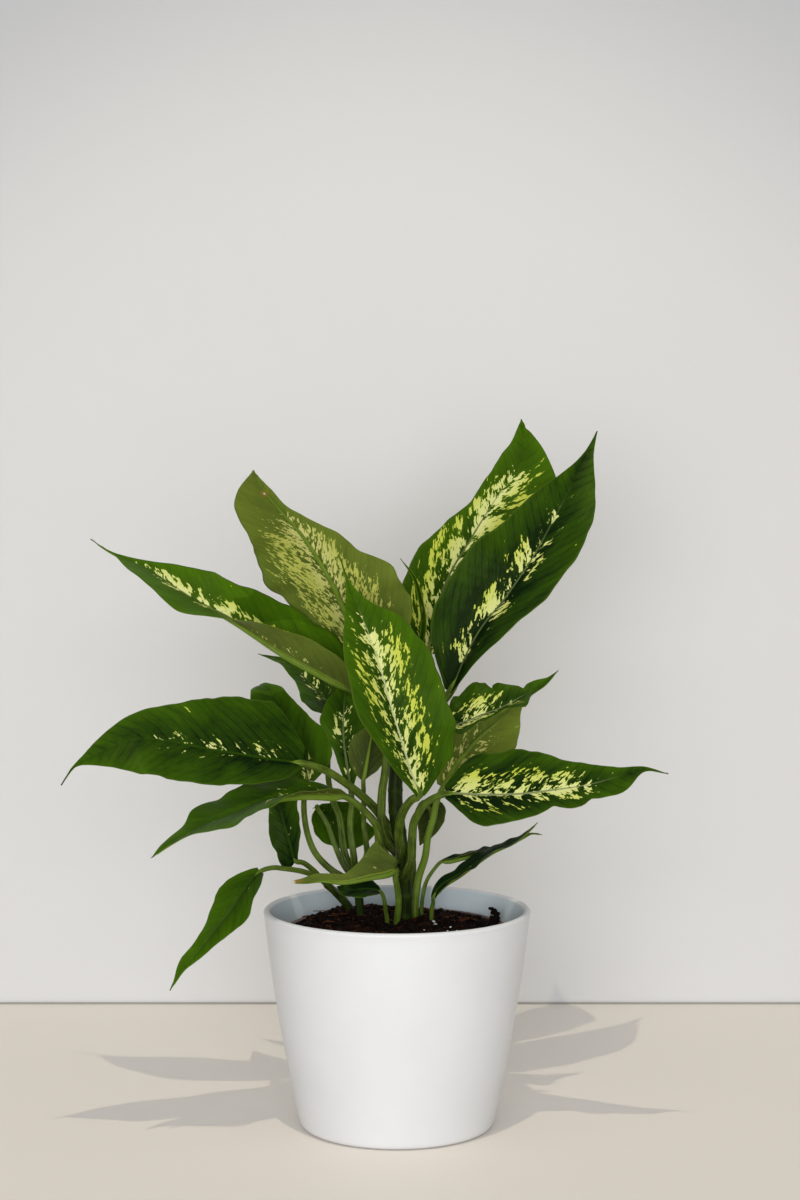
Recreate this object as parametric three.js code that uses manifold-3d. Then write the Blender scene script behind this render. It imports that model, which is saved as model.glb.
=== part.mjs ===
// Potted dieffenbachia: a white cover pot with a plastic grow pot standing in it, soil, three
// short stems and their leaves. Millimetres, +Z up. The origin is the middle of the flat
// underside of the cover pot, and the plant's front is -Y.

import * as THREE from 'three';
import { mergeVertices } from 'three/addons/utils/BufferGeometryUtils.js';
import Module from 'manifold-3d';

// ---- Driving dimensions ----

const GAP = 0.3; // between pieces that touch

const COVER = {
  rimRadius: 80, baseRadius: 58, height: 131, wall: 4.2, floor: 4, edge: 4.5, bulge: 2,
};
const COVER_CURVE = { steps: 3, leastSide: 0.05 }; // of the rounded lip and foot
const GROW = {
  rimRadius: 67, baseRadius: 49, rimBelow: 12, wall: 1.3, rimWidth: 2.6, rimDepth: 5, rimEdge: 0.6,
};
const DRAIN = { count: 6, radius: 4, ring: 34, sides: 12 };
const SOIL = {
  belowRim: 0.5, heap: 7, heapX: -30, heapY: 26, heapSpread: 30, rough: 0.9,
  shoulder: 3, chamfer: 1,
};
const SOIL_WAVES = { broadX: 3.2, broadY: 3.7, smallX: 1.2, smallY: 1.4 };
const SOIL_RINGS = [0.85, 0.65, 0.45, 0.25]; // share of the radius
const SOIL_LEVEL = 6; // power: how close to its edge the soil becomes level
const POT_SIDES = 40;

const BLADE_THICKNESS = 0.8;
const BLADE_STEPS = 11;
const STEP_EASE = 0.4; // 0: even steps from base to tip, 1: steps much closer at both ends
const LEAST_WIDTH = 0.5; // half width of a blade at its very tip
// Midrib: half width at both ends, the most it takes of a half blade, and its depth on the
// underside: at the blade's base in stalk radii, at the tip in millimetres.
const RIB = { atBase: 1.5, atTip: 0.35, widest: 0.3, depthAtBase: 1.5, depthAtTip: 0.2 };
const RIPPLE_SHIFT = 0.37; // between the ripples of the left and the right margin

// Stems: the middle line from below the soil upwards, with the radius at its foot and its top.
const STEMS = {
  stem_main: {
    line: [[4, 14, 104], [4, 14, 126], [4, 12, 147], [2, 10, 167], [-1, 9, 195], [0, 9, 216],
      [3, 10, 234], [8, 12, 248], [11, 13, 256]],
    radius: [5, 4],
  },
  stem_left: {
    line: [[-21, 10, 104], [-22, 10, 123], [-23, 9, 136], [-25, 8, 154]],
    radius: [2.8, 2.4],
  },
  stem_side: {
    line: [[-20, 22, 104], [-29, 20, 127], [-37, 17, 137], [-43, 14, 143]],
    radius: [3, 2.2],
  },
};

// Leaves. stalk: the middle line of the leaf stalk from its foot. blade: the midrib from the
// blade's base to its tip. left and right: half widths of the blade at even steps from base to
// tip, as its upper side is seen with the tip up. radius: of the stalk at its foot and neck.
// face: where the upper side looks, at base and tip. fold: how far the left and right half turn
// up from the midrib, in degrees at even steps. wave: height, count and phase of the ripples.
const LEAVES = {
  leaf_top_back: {
    from: 'stem_main',
    stalk: [[11, 13, 252], [16, 20, 260], [19, 27, 271]],
    blade: [[19, 32, 281], [24, 42, 307], [32, 51, 328], [46, 60, 351], [60, 67, 373],
      [73, 74, 391],
      [80, 78, 406], [78, 83, 425]],
    left: [3, 15, 24, 25, 22, 18, 12.5, 12.5, 13, 10, 0],
    right: [4, 15, 22, 28, 32.5, 35, 36, 35.5, 31, 9.5, 0],
    radius: [2.6, 2.2],
    face: [[0, -0.9, 0.4], [0, -0.9, 0.4]],
    fold: [[20, 20], [10, 8], [10, 5]],
    wave: [1.5, 3, 0.2],
  },
  leaf_top_right: {
    from: 'stem_main',
    stalk: [[10, 12, 244], [18, 13, 248], [26, 11, 253]],
    blade: [[32, 10, 260], [43, 10, 285], [52, 12, 300], [65, 15, 316], [81, 20, 339],
      [96, 28, 365],
      [110, 38, 392], [123, 50, 417]],
    left: [4, 19, 31, 33.5, 35.5, 31, 24, 18.5, 9, 2, 0],
    right: [4, 13, 23.5, 25, 27.5, 27, 26.5, 23, 15.5, 5.5, 0],
    radius: [3.2, 2.4],
    face: [[0, -1, 0.3], [0.1, -1, 0.3]],
    fold: [[10, 70], [5, 35], [5, 10]],
    wave: [1.2, 3, 0],
  },
  leaf_top_left: {
    from: 'stem_main',
    stalk: [[1, 11, 161], [-6, 6, 170], [-9, 1, 182], [-9, -2, 200], [-7, -5, 214], [-6, -5, 232],
      [-8, -3, 250]],
    blade: [[-11, -1, 266], [-21, -4, 286], [-31, -10, 311], [-39, -16, 329], [-54, -27, 354],
      [-68, -38, 371], [-77, -47, 383], [-82, -53, 393]],
    left: [4, 26, 36, 38, 36, 23, 18, 9, 4.3, 3.5, 0],
    right: [4, 15, 24, 29, 34.5, 39.5, 38.5, 32.5, 27, 21.7, 0],
    radius: [2.8, 2.2],
    face: [[0.1, 0.9, 0.4], [0.1, 0.9, 0.4]],
    fold: [[15, 15], [12, 12], [10, 10]],
    wave: [2, 4, 0.3],
  },
  leaf_far_left: {
    from: 'stem_main',
    stalk: [[2, 10, 226], [-4, 7, 235], [-12, 2, 246], [-19, -4, 256]],
    blade: [[-27, -8, 263], [-42, -14, 272], [-64, -17, 284], [-98, -16, 306], [-121, -12, 318],
      [-148, -5, 335], [-170, 2, 344], [-183, 6, 352]],
    left: [6, 17, 19, 18, 18, 20, 24, 19, 14, 1.2, 0],
    right: [6, 24, 27, 27, 27, 24, 22, 15.5, 5.5, 1.2, 0],
    radius: [3, 2.2],
    face: [[0.3, -0.85, 0.45], [0.3, -0.5, 0.8]],
    fold: [[100, 10], [105, 10], [35, 10], [15, 10], [10, 10]],
    wave: [1.5, 3, 0],
  },
  leaf_front: {
    from: 'stem_main',
    stalk: [[2, 10, 158], [2, 2, 166], [1, -4, 176], [2, -13, 186], [5, -24, 195], [9, -32, 201]],
    blade: [[13, -36, 204], [8, -41, 219], [2, -45, 239], [-4, -46, 259], [-9, -44, 277],
      [-15, -40, 295], [-22, -36, 312], [-28, -33, 326], [-33, -28, 342]],
    left: [3, 9.5, 16, 22, 28.5, 26.5, 24, 18, 9, 1, 0],
    right: [3, 24, 31, 32.5, 32, 32, 27, 21, 7.5, 1.5, 0],
    radius: [3.1, 2.3],
    face: [[0.45, -0.9, 0.1], [0.4, -0.9, 0.1]],
    fold: [[25, 25], [20, 20], [10, 10]],
    wave: [0.8, 3, 0],
  },
  leaf_left_small: {
    from: 'stem_left',
    stalk: [[-24, 9, 148], [-31, 12, 159], [-35, 16, 184], [-39, 19, 193], [-42, 23, 209],
      [-41, 27, 227]],
    blade: [[-36, 30, 242], [-43, 37, 252], [-57, 50, 265], [-70, 60, 274], [-87, 72, 278]],
    left: [8, 18, 18.5, 15.5, 11.5, 8.5, 7, 4.5, 3.5, 1.5, 0],
    right: [6, 15, 17, 17, 14.5, 10.5, 7, 4.5, 2.5, 1.2, 0],
    radius: [2.2, 1.5],
    face: [[0.2, -0.6, 0.75], [0.2, -0.6, 0.75]],
    fold: [[20, 20], [10, 10], [5, 5]],
    wave: [0.8, 3, 0],
  },
  leaf_left_large: {
    from: 'stem_main',
    stalk: [[0, 10, 170], [-7, 9, 181], [-14, 5, 191], [-22, -3, 200], [-31, -10, 208],
      [-42, -17, 216]],
    blade: [[-55, -24, 221], [-73, -35, 225], [-100, -47, 231], [-113, -53, 234], [-134, -60, 239],
      [-149, -65, 240], [-163, -69, 236], [-174, -72, 231], [-183, -73, 225], [-190, -74, 215]],
    left: [2.5, 13.5, 19, 22, 24.5, 25, 25, 23, 12.5, 1.5, 0],
    right: [9, 31, 34.5, 33, 30.5, 25, 19.5, 13.5, 7, 1.5, 0],
    radius: [2.7, 2.2],
    face: [[0, -0.85, 0.5], [0, -0.85, 0.5]],
    fold: [[15, 15], [10, 10], [5, 5]],
    wave: [0.8, 2, 0],
  },
  leaf_left_behind: {
    from: 'stem_left',
    stalk: [[-24, 9, 138], [-31, 8, 147], [-39, 9, 152], [-45, 11, 157], [-50, 13, 163],
      [-54, 14, 173],
      [-56, 13, 185], [-56, 11, 196]],
    blade: [[-54, 9, 207], [-57, 9, 221], [-64, 14, 236], [-72, 24, 251], [-82, 38, 261],
      [-89, 52, 258]],
    left: [5, 14, 18, 20, 20, 19, 17, 14.5, 9.5, 5, 0],
    right: [6, 19, 22, 18, 14, 11, 8.5, 8, 4, 2.5, 0],
    radius: [2.2, 1.6],
    face: [[-0.45, -0.85, 0.3], [0, -0.5, 0.9]],
    fold: [[15, 15], [10, 10], [5, 5]],
    wave: [0.8, 2, 0],
  },
  leaf_left_low: {
    from: 'stem_main',
    stalk: [[1, 11, 147], [-4, 3, 157], [-10, -4, 169], [-12, -10, 182], [-18, -16, 191],
      [-24, -20, 197]],
    blade: [[-31, -24, 202], [-47, -34, 205], [-65, -44, 205], [-80, -52, 202], [-96, -59, 196],
      [-113, -67, 190], [-129, -73, 181], [-139, -77, 174]],
    left: [3, 9, 12, 14, 16, 18, 21.5, 15, 6.5, 1, 0],
    right: [4, 14, 18, 20, 20, 17.5, 19, 16.5, 8.5, 5.5, 0],
    radius: [2.8, 2.2],
    face: [[0, -0.2, 1], [-0.2, -0.3, 0.9]],
    fold: [[40, 15], [10, 15], [5, 5]],
    wave: [1.5, 4, 0],
  },
  leaf_left_hanging: {
    from: 'stem_side',
    stalk: [[-37, 17, 137], [-45, 15, 145], [-51, 12, 152], [-57, 9, 157]],
    blade: [[-61, 7, 158], [-64, 5, 168], [-68, 6, 182], [-72, 9, 197], [-75, 13, 209]],
    left: [8, 9, 9.5, 11, 10.5, 9, 7.5, 6, 5, 3, 0],
    right: [2, 4, 6, 9, 10, 11, 11, 11.5, 9, 5, 0],
    radius: [2, 1.5],
    face: [[-0.2, -0.95, 0.1], [-0.2, -0.95, 0.1]],
    fold: [[20, 20], [10, 10], [5, 5]],
    wave: [0.8, 2, 0],
    steps: 9,
  },
  leaf_drooping: {
    from: 'stem_side',
    stalk: [[-36, 17, 136], [-40, 8, 142], [-45, 2, 148], [-51, -4, 152], [-58, -9, 155],
      [-67, -13, 157], [-74, -16, 158]],
    blade: [[-81, -18, 156], [-90, -25, 146], [-98, -31, 134], [-105, -35, 126], [-113, -39, 116],
      [-120, -42, 108], [-127, -44, 101], [-132, -45, 91]],
    left: [5, 11, 11.5, 13.5, 11.5, 8.5, 6, 4, 2, 2, 0],
    right: [3, 8.5, 13, 12.5, 10.5, 7, 6, 5.5, 5, 1, 0],
    radius: [1.9, 1.4],
    face: [[-0.3, -0.9, 0.3], [-0.3, -0.9, 0.3]],
    fold: [[40, 20], [10, 10], [5, 5]],
    wave: [0.8, 2, 0],
  },
  leaf_folded_pale: {
    stalk: [[-1, 2, 104], [0, 1, 123], [1, -2, 136], [0, -6, 145], [-1, -10, 151]],
    blade: [[-1, -13, 156], [-8, -16, 155], [-16, -19, 154], [-31, -21, 151], [-45, -23, 152],
      [-54, -25, 151],
      [-62, -26, 151]],
    left: [6, 17, 18, 11, 7, 4.5, 4, 4, 4, 2.5, 1],
    right: [6, 17, 18, 11, 7, 4.5, 4, 4, 4, 2.5, 1],
    radius: [2.2, 1.7],
    face: [[0, 0.2, 1], [0, 0.2, 1]],
    fold: [[80, 60], [80, 60], [70, 60]],
    wave: [0.5, 2, 0],
    steps: 9,
  },
  leaf_folded_dark: {
    stalk: [[-6, 2, 104], [-6, 2, 123], [-7, -1, 131], [-8, -4, 138]],
    blade: [[-10, -6, 142], [-18, -8, 144], [-29, -8, 143], [-36, -6, 145]],
    left: [2, 7, 9, 9, 7.5, 5, 0],
    right: [2, 7, 9, 9, 7.5, 5, 0],
    radius: [1.5, 1.2],
    face: [[0, -0.5, 0.85], [0, -0.5, 0.85]],
    fold: [[10, 10], [10, 10], [5, 5]],
    steps: 7,
  },
  leaf_mid_left: {
    from: 'stem_left',
    stalk: [[-25, 7, 150], [-26, 2, 162], [-28, 2, 181], [-27, 1, 195]],
    blade: [[-28, 1, 205], [-30, -1, 218], [-32, 1, 233], [-32, 5, 246], [-31, 12, 261],
      [-27, 20, 274]],
    left: [2.5, 4, 5.5, 7, 10, 14, 13, 9.5, 4.5, 2, 0],
    right: [2.5, 6, 9, 12, 13.5, 14, 13, 9.5, 5, 2, 0],
    radius: [2.3, 1.6],
    face: [[0, -1, 0.1], [0, -0.9, 0.5]],
    fold: [[20, 20], [10, 10], [5, 5]],
    wave: [0.5, 2, 0],
    steps: 9,
  },
  leaf_mid_inner: {
    from: 'stem_left',
    stalk: [[-21, 8, 148], [-18, 10, 158], [-20, 9, 180], [-20, 8, 190], [-20, 3, 201]],
    blade: [[-20, -3, 209], [-18, -5, 220], [-16, -4, 231], [-14, 0, 242]],
    left: [2, 8, 11, 12, 11, 7, 0],
    right: [2, 8, 11, 12, 11, 7, 0],
    radius: [2, 1.3],
    face: [[-0.1, 0.95, 0.2], [-0.1, 0.95, 0.2]],
    fold: [[20, 3], [20, 3], [15, 3]],
    steps: 9,
  },
  leaf_right_small: {
    from: 'stem_main',
    stalk: [[-1, 9, 213], [8, 0, 219], [17, -5, 226], [24, -7, 233]],
    blade: [[31, -8, 240], [43, -9, 245], [50, -9, 248], [61, -9, 252], [74, -8, 259],
      [84, -6, 264],
      [96, -2, 274]],
    left: [4, 17, 19.5, 20.5, 19.5, 16, 10, 6.5, 5.2, 1.5, 0],
    right: [4, 13, 13, 11, 8, 9.5, 15.5, 6.5, 3, 2, 0],
    radius: [2.4, 1.7],
    face: [[0, -0.45, 0.9], [0, -0.45, 0.9]],
    fold: [[30, 5], [30, 20], [20, 10]],
    wave: [1.6, 4, 0],
    steps: 10,
  },
  leaf_right_back: {
    stalk: [[10, 22, 104], [11, 22, 130], [13, 22, 145], [17, 21, 158], [19, 20, 172],
      [22, 20, 182],
      [24, 20, 192]],
    blade: [[28, 21, 201], [37, 24, 216], [48, 27, 229], [60, 30, 239], [71, 33, 248],
      [78, 36, 252]],
    left: [4, 12, 17, 20, 22, 23, 23, 21.5, 15.5, 8, 0],
    right: [4, 10, 14, 17, 19, 20, 19, 17, 13, 7, 0],
    radius: [2.7, 1.8],
    face: [[0.1, 0.9, 0.3], [0.1, 0.9, 0.3]],
    fold: [[15, 15], [10, 10], [5, 5]],
    wave: [0.8, 2, 0],
  },
  leaf_right_large: {
    from: 'stem_main',
    stalk: [[4, 9, 146], [8, 4, 157], [9, 0, 171], [10, -5, 183], [13, -10, 190], [17, -13, 196],
      [23, -15, 200]],
    blade: [[29, -16, 202], [52, -27, 203], [74, -36, 205], [90, -43, 208], [110, -50, 212],
      [126, -55, 217], [141, -59, 222], [155, -62, 220]],
    left: [5, 22, 25, 26.5, 25, 20, 15, 10.5, 5, 1.8, 0],
    right: [4, 13.5, 23, 21.5, 17, 12.5, 14, 10.5, 10, 1.5, 0],
    radius: [3.1, 2],
    face: [[0, -0.85, 0.5], [0, -0.85, 0.5]],
    fold: [[20, 20], [10, 10], [5, 5]],
    wave: [1.2, 3, 0],
  },
  leaf_right_twisted: {
    stalk: [[21, 18, 104], [21, 18, 126], [22, 18, 131]],
    blade: [[22, 17, 134], [27, 15, 142], [37, 12, 149], [46, 9, 156], [57, 5, 164], [71, 1, 171],
      [77, -1, 176], [84, -3, 183]],
    left: [1.5, 4.5, 6.5, 7, 6.5, 5, 3, 0],
    right: [1.5, 4.5, 6.5, 7, 6.5, 5, 3, 0],
    radius: [1.5, 1.3],
    face: [[0.2, -0.5, 0.8], [-0.3, -0.1, 0.9]],
    fold: [[20, 20], [10, 10], [10, 10]],
    wave: [0.8, 3, 0],
    steps: 10,
  },
  leaf_right_narrow: {
    stalk: [[15, 26, 104], [15, 26, 128], [16, 26, 135], [18, 25, 143], [23, 24, 151]],
    blade: [[27, 24, 155], [35, 24, 157], [44, 24, 159], [54, 23, 161], [66, 22, 165],
      [76, 21, 170],
      [82, 20, 173], [88, 20, 172]],
    left: [1.5, 4.5, 6.5, 7, 6.5, 5, 3, 0],
    right: [1.5, 4.5, 6.5, 7, 6.5, 5, 3, 0],
    radius: [1.4, 1.2],
    face: [[0, 0, 1], [0, 0, 1]],
    fold: [[20, 20], [10, 10], [5, 5]],
    wave: [0.8, 3, 0],
    steps: 10,
  },
  leaf_back_left: {
    from: 'stem_left',
    stalk: [[-22, 10, 139], [-27, 19, 146], [-33, 22, 154], [-38, 26, 165], [-43, 29, 178]],
    blade: [[-49, 32, 187], [-46, 38, 183], [-37, 46, 175], [-25, 50, 169], [-12, 52, 169]],
    left: [3, 11, 15, 15, 13, 8, 0],
    right: [3, 10, 14, 14, 12, 7, 0],
    radius: [2, 1.4],
    face: [[0, -1, 0.1], [0, -1, 0.1]],
    fold: [[10, 10], [10, 10], [5, 5]],
    steps: 8,
  },
  leaf_back_hanging: {
    stalk: [[7, 28, 104], [7, 28, 128], [10, 27, 150], [9, 27, 164], [10, 28, 174], [12, 32, 184]],
    blade: [[16, 36, 190], [20, 42, 186], [21, 46, 180], [19, 48, 171], [14, 48, 161]],
    left: [2, 7, 9, 9, 7, 4, 0],
    right: [2, 7, 9, 9, 7, 4, 0],
    radius: [2.2, 1.4],
    face: [[0, 0.5, 0.9], [0, 1, 0.2]],
    fold: [[10, 10], [10, 10], [5, 5]],
    steps: 8,
  },
  leaf_new_rolled: {
    from: 'stem_main',
    stalk: [[9, 12, 248], [7, 13, 262]],
    blade: [[11, 16, 276], [16, 20, 300], [14, 20, 316], [10, 19, 329], [2, 18, 340]],
    left: [2, 5, 6, 6, 5, 3, 0],
    right: [2, 5, 6, 6, 5, 3, 0],
    radius: [2, 1.3],
    face: [[0, -1, 0], [0, -1, 0]],
    fold: [[70, 70], [75, 75], [75, 75]],
    steps: 8,
  },
};

// ---- Materials ----

const material = (color, roughness) => (
  new THREE.MeshStandardMaterial({ color, roughness, metalness: 0 })
);

const finish = {
  glazedCeramic: material('#e9e9e6', 0.45),
  potPlastic: material('#5a3226', 0.6),
  soil: material('#1c0e08', 0.95),
  stem: material('#5f8a2a', 0.5),
  leaf: material('#2a5a18', 0.42),
};

// ---- Solids: joining and cutting ----

const wasm = await Module();
wasm.setup();

function toSolid(geometry) {
  const bare = geometry.clone();
  bare.deleteAttribute('normal');
  bare.deleteAttribute('uv');
  const merged = mergeVertices(bare, 1e-4);
  return new wasm.Manifold(new wasm.Mesh({
    numProp: 3,
    vertProperties: new Float32Array(merged.attributes.position.array),
    triVerts: new Uint32Array(merged.index.array),
  }));
}

function toGeometry(solid) {
  const mesh = solid.getMesh();
  const geometry = new THREE.BufferGeometry();
  geometry.setAttribute('position', new THREE.BufferAttribute(mesh.vertProperties.slice(), 3));
  geometry.setIndex(new THREE.BufferAttribute(mesh.triVerts.slice(), 1));
  geometry.computeVertexNormals();
  return geometry;
}

function cut(geometry, ...tools) {
  const whole = toSolid(geometry);
  return toGeometry(tools.reduce((rest, tool) => rest.subtract(toSolid(tool)), whole));
}

// ---- Sweeps ----

const point = (xyz) => new THREE.Vector3(...xyz);
const smooth = (points) => new THREE.CatmullRomCurve3(points.map(point), false, 'centripetal');
const mix = THREE.MathUtils.lerp;

// Value of a list that is spread evenly from t = 0 to t = 1.
function along(values, t) {
  const place = t * (values.length - 1);
  const below = Math.min(Math.floor(place), values.length - 2);
  return mix(values[below], values[below + 1], place - below);
}

// Closes a list of rings into one body. The second half of each ring is the underside of a
// blade, whose squares are split like those right above them.
function skin(rings) {
  const size = rings[0].length;
  const positions = rings.flat();
  const triangles = [];
  for (let i = 0; i < rings.length - 1; i += 1) {
    for (let j = 0; j < size; j += 1) {
      const a = i * size + j;
      const b = i * size + ((j + 1) % size);
      const c = a + size;
      const d = b + size;
      if (j < size / 2 - 1) {
        triangles.push(a, d, c, a, b, d);
      } else {
        triangles.push(a, b, c, b, d, c);
      }
    }
  }
  const end = positions.length - size;
  for (let j = 1; j < size / 2; j += 1) {
    const [p, q, r, s] = [j - 1, j, size - 1 - j, size - j];
    triangles.push(p, r, q, p, s, r);
    triangles.push(end + p, end + q, end + r, end + p, end + r, end + s);
  }
  const geometry = new THREE.BufferGeometry().setFromPoints(positions);
  geometry.setIndex(triangles);
  return geometry;
}

// A ring of the same 12 corners as a blade's section, round the point of a stalk or stem.
const RING_SIDES = 12;

function roundRing(middle, side, up, radius) {
  return Array.from({ length: RING_SIDES }, (_, k) => {
    const turn = Math.PI * (RING_SIDES - 1 - 2 * k) / RING_SIDES;
    return middle.clone()
      .addScaledVector(side, radius * Math.cos(turn))
      .addScaledVector(up, radius * Math.sin(turn));
  });
}

function stemGeometry({ line, radius }, grow = 0) {
  const curve = smooth(line);
  const steps = line.length + 2;
  const frames = curve.computeFrenetFrames(steps);
  const rings = frames.tangents.map((_, i) => roundRing(
    curve.getPointAt(i / steps),
    frames.binormals[i],
    frames.normals[i],
    mix(radius[0], radius[1], i / steps) + grow,
  ));
  return skin(rings);
}

// Where the upper side of a leaf looks at t, square to the way its midrib or stalk runs there.
function upAt(face, t, tangent) {
  const [atBase, atTip] = face.map((xyz) => point(xyz).normalize());
  const up = atBase.lerp(atTip, t);
  return up.addScaledVector(tangent, -up.dot(tangent)).normalize();
}

function stalkRings({ stalk, blade, face, radius }, grow = 0) {
  const line = smooth([...stalk, blade[0]]);
  const steps = stalk.length;
  return Array.from({ length: steps + 1 }, (_, i) => {
    const t = i / steps;
    const tangent = line.getTangentAt(t);
    const up = upAt(face, 0, tangent);
    const side = tangent.clone().cross(up);
    return roundRing(line.getPointAt(t), side, up, mix(...radius, t) + grow);
  });
}

// The six points across a blade at t, from its left margin over the midrib to its right margin.
function bladeRow({ left, right, face, fold, wave = [0, 1, 0] }, t, middle, tangent) {
  const up = upAt(face, t, tangent);
  const side = tangent.clone().cross(up);
  const [height, count, phase] = wave;
  const halves = [left, right].map((widths, hand) => {
    const width = Math.max(along(widths, t), LEAST_WIDTH);
    const rib = Math.min(mix(RIB.atBase, RIB.atTip, t), RIB.widest * width);
    const turn = THREE.MathUtils.degToRad(along(fold.map((pair) => pair[hand]), t));
    const share = width / Math.max(...widths);
    const phaseHere = count * t + phase + RIPPLE_SHIFT * hand;
    const ripple = height * share * Math.sin(2 * Math.PI * phaseHere);
    return [rib, 0.5 * width, width].map((reach) => middle.clone()
      .addScaledVector(side, (hand ? reach : -reach) * Math.cos(turn))
      .addScaledVector(up, reach * Math.sin(turn) + ripple * (reach / width) ** 2));
  });
  return [...halves[0].reverse(), ...halves[1]];
}

function leafGeometry(spec) {
  const { blade, radius, steps = BLADE_STEPS } = spec;
  const midrib = smooth(blade);
  const neck = radius[1];
  const ribDepth = (t) => mix(RIB.depthAtBase * neck, RIB.depthAtTip, Math.sqrt(t));
  const grid = Array.from({ length: steps }, (_, i) => {
    const even = (i + 1) / steps;
    const t = mix(even, (1 - Math.cos(Math.PI * even)) / 2, STEP_EASE);
    return bladeRow(spec, t, midrib.getPointAt(t), midrib.getTangentAt(t));
  });
  const rings = grid.map((row, i) => {
    const before = grid[Math.max(i - 1, 0)];
    const after = grid[Math.min(i + 1, steps - 1)];
    const top = [];
    const under = [];
    row.forEach((spot, j) => {
      const acrossStep = row[Math.min(j + 1, row.length - 1)].clone().sub(row[Math.max(j - 1, 0)]);
      const alongStep = after[j].clone().sub(before[j]);
      const normal = acrossStep.cross(alongStep).normalize();
      const isRib = j === 2 || j === 3;
      const depth = BLADE_THICKNESS / 2 + (isRib ? ribDepth((i + 1) / steps) : 0);
      top.push(spot.clone().addScaledVector(normal, BLADE_THICKNESS / 2));
      under.push(spot.clone().addScaledVector(normal, -depth));
    });
    return [...top, ...under.reverse()];
  });
  return skin([...stalkRings(spec), ...rings]);
}

// ---- Pots and soil ----

const coverRadius = (z) => mix(COVER.baseRadius, COVER.rimRadius, z / COVER.height)
  + COVER.bulge * Math.sin(Math.PI * z / COVER.height);

function coverPotGeometry() {
  const { edge, wall, height, floor, baseRadius } = COVER;
  const profile = new THREE.Path();
  profile.moveTo(0, 0);
  profile.lineTo(baseRadius - edge, 0);
  profile.quadraticCurveTo(baseRadius, 0, coverRadius(edge), edge);
  const wallSteps = 4;
  for (let i = 1; i <= wallSteps; i += 1) {
    const z = mix(edge, height - wall / 2, i / wallSteps);
    profile.lineTo(coverRadius(z), z);
  }
  profile.absarc(coverRadius(height) - wall / 2, height - wall / 2, wall / 2, 0, Math.PI, false);
  for (let i = 1; i <= wallSteps; i += 1) {
    const z = mix(height - wall / 2, floor, i / wallSteps);
    profile.lineTo(coverRadius(z) - wall, z);
  }
  profile.lineTo(0, floor);
  const corners = profile.getPoints(COVER_CURVE.steps)
    .filter((p, i, all) => i === 0 || p.distanceTo(all[i - 1]) > COVER_CURVE.leastSide);
  return new THREE.LatheGeometry(corners, POT_SIDES);
}

const growFoot = COVER.floor + GAP;
const growTop = COVER.height - GROW.rimBelow;

function growRadius(z) {
  const share = (z - growFoot) / (growTop - growFoot);
  return mix(GROW.baseRadius, GROW.rimRadius - GROW.rimWidth, share);
}

function growPotGeometry() {
  const { wall, rimRadius, rimDepth, rimEdge } = GROW;
  const corners = [
    [0, growFoot],
    [growRadius(growFoot), growFoot],
    [growRadius(growTop - rimDepth), growTop - rimDepth],
    [rimRadius - rimEdge, growTop - rimDepth],
    [rimRadius, growTop - rimDepth + rimEdge],
    [rimRadius, growTop - rimEdge],
    [rimRadius - rimEdge, growTop],
    [growRadius(growTop) - wall, growTop],
    [growRadius(growFoot) - wall, growFoot + wall],
    [0, growFoot + wall],
  ].map(([r, z]) => new THREE.Vector2(r, z));
  const pot = new THREE.LatheGeometry(corners, POT_SIDES);
  const holes = Array.from({ length: DRAIN.count }, (_, i) => {
    const turn = 2 * Math.PI * i / DRAIN.count;
    const hole = new THREE.CylinderGeometry(DRAIN.radius, DRAIN.radius, 4 * wall, DRAIN.sides);
    return hole.rotateX(Math.PI / 2)
      .rotateZ(turn)
      .translate(DRAIN.ring * Math.cos(turn), DRAIN.ring * Math.sin(turn), growFoot);
  });
  return cut(pot.rotateX(Math.PI / 2), ...holes);
}

// The soil's surface: a heap at the back left, with broad and small unevenness.
function soilTop(x, y) {
  const away = (x - SOIL.heapX) ** 2 + (y - SOIL.heapY) ** 2;
  const heap = SOIL.heap * Math.exp(-away / (2 * SOIL.heapSpread ** 2));
  const broad = Math.sin(x / SOIL_WAVES.broadX + 1) * Math.cos(y / SOIL_WAVES.broadY);
  const small = Math.sin(x / SOIL_WAVES.smallX + y / SOIL_WAVES.smallY);
  return growTop - SOIL.belowRim + heap + SOIL.rough * (broad + 0.5 * small);
}

function soilGeometry() {
  const foot = growFoot + GROW.wall + GAP;
  const shoulder = growTop - SOIL.shoulder;
  const inner = (z) => growRadius(z) - GROW.wall - GAP;
  const corners = [
    [0, foot],
    [inner(foot), foot],
    [inner(shoulder), shoulder],
    [inner(shoulder) - SOIL.chamfer, growTop],
    ...SOIL_RINGS.map((share) => [share * inner(shoulder), growTop]),
    [0, growTop],
  ].map(([r, z]) => new THREE.Vector2(r, z));
  const soil = new THREE.LatheGeometry(corners, POT_SIDES).rotateX(Math.PI / 2);
  const places = soil.attributes.position;
  for (let i = 0; i < places.count; i += 1) {
    if (places.getZ(i) > shoulder + SOIL.chamfer) {
      const edge = Math.hypot(places.getX(i), places.getY(i)) / inner(shoulder);
      const lift = soilTop(places.getX(i), places.getY(i)) - growTop;
      places.setZ(i, growTop + lift * (1 - edge ** SOIL_LEVEL));
    }
  }
  return soil;
}

// ---- The plant ----

const plant = new THREE.Group();

function addPiece(name, geometry, look) {
  const mesh = new THREE.Mesh(geometry, look);
  mesh.name = name;
  plant.add(mesh);
}

const holes = Object.values(STEMS).map((stem) => stemGeometry(stem, GAP));

Object.entries(STEMS).forEach(([name, stem]) => addPiece(name, stemGeometry(stem), finish.stem));

Object.entries(LEAVES).forEach(([name, leaf]) => {
  const whole = leafGeometry(leaf);
  const geometry = leaf.from ? cut(whole, stemGeometry(STEMS[leaf.from], GAP)) : whole;
  if (!leaf.from) {
    holes.push(skin(stalkRings(leaf, GAP)));
  }
  addPiece(name, geometry, finish.leaf);
});

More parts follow.
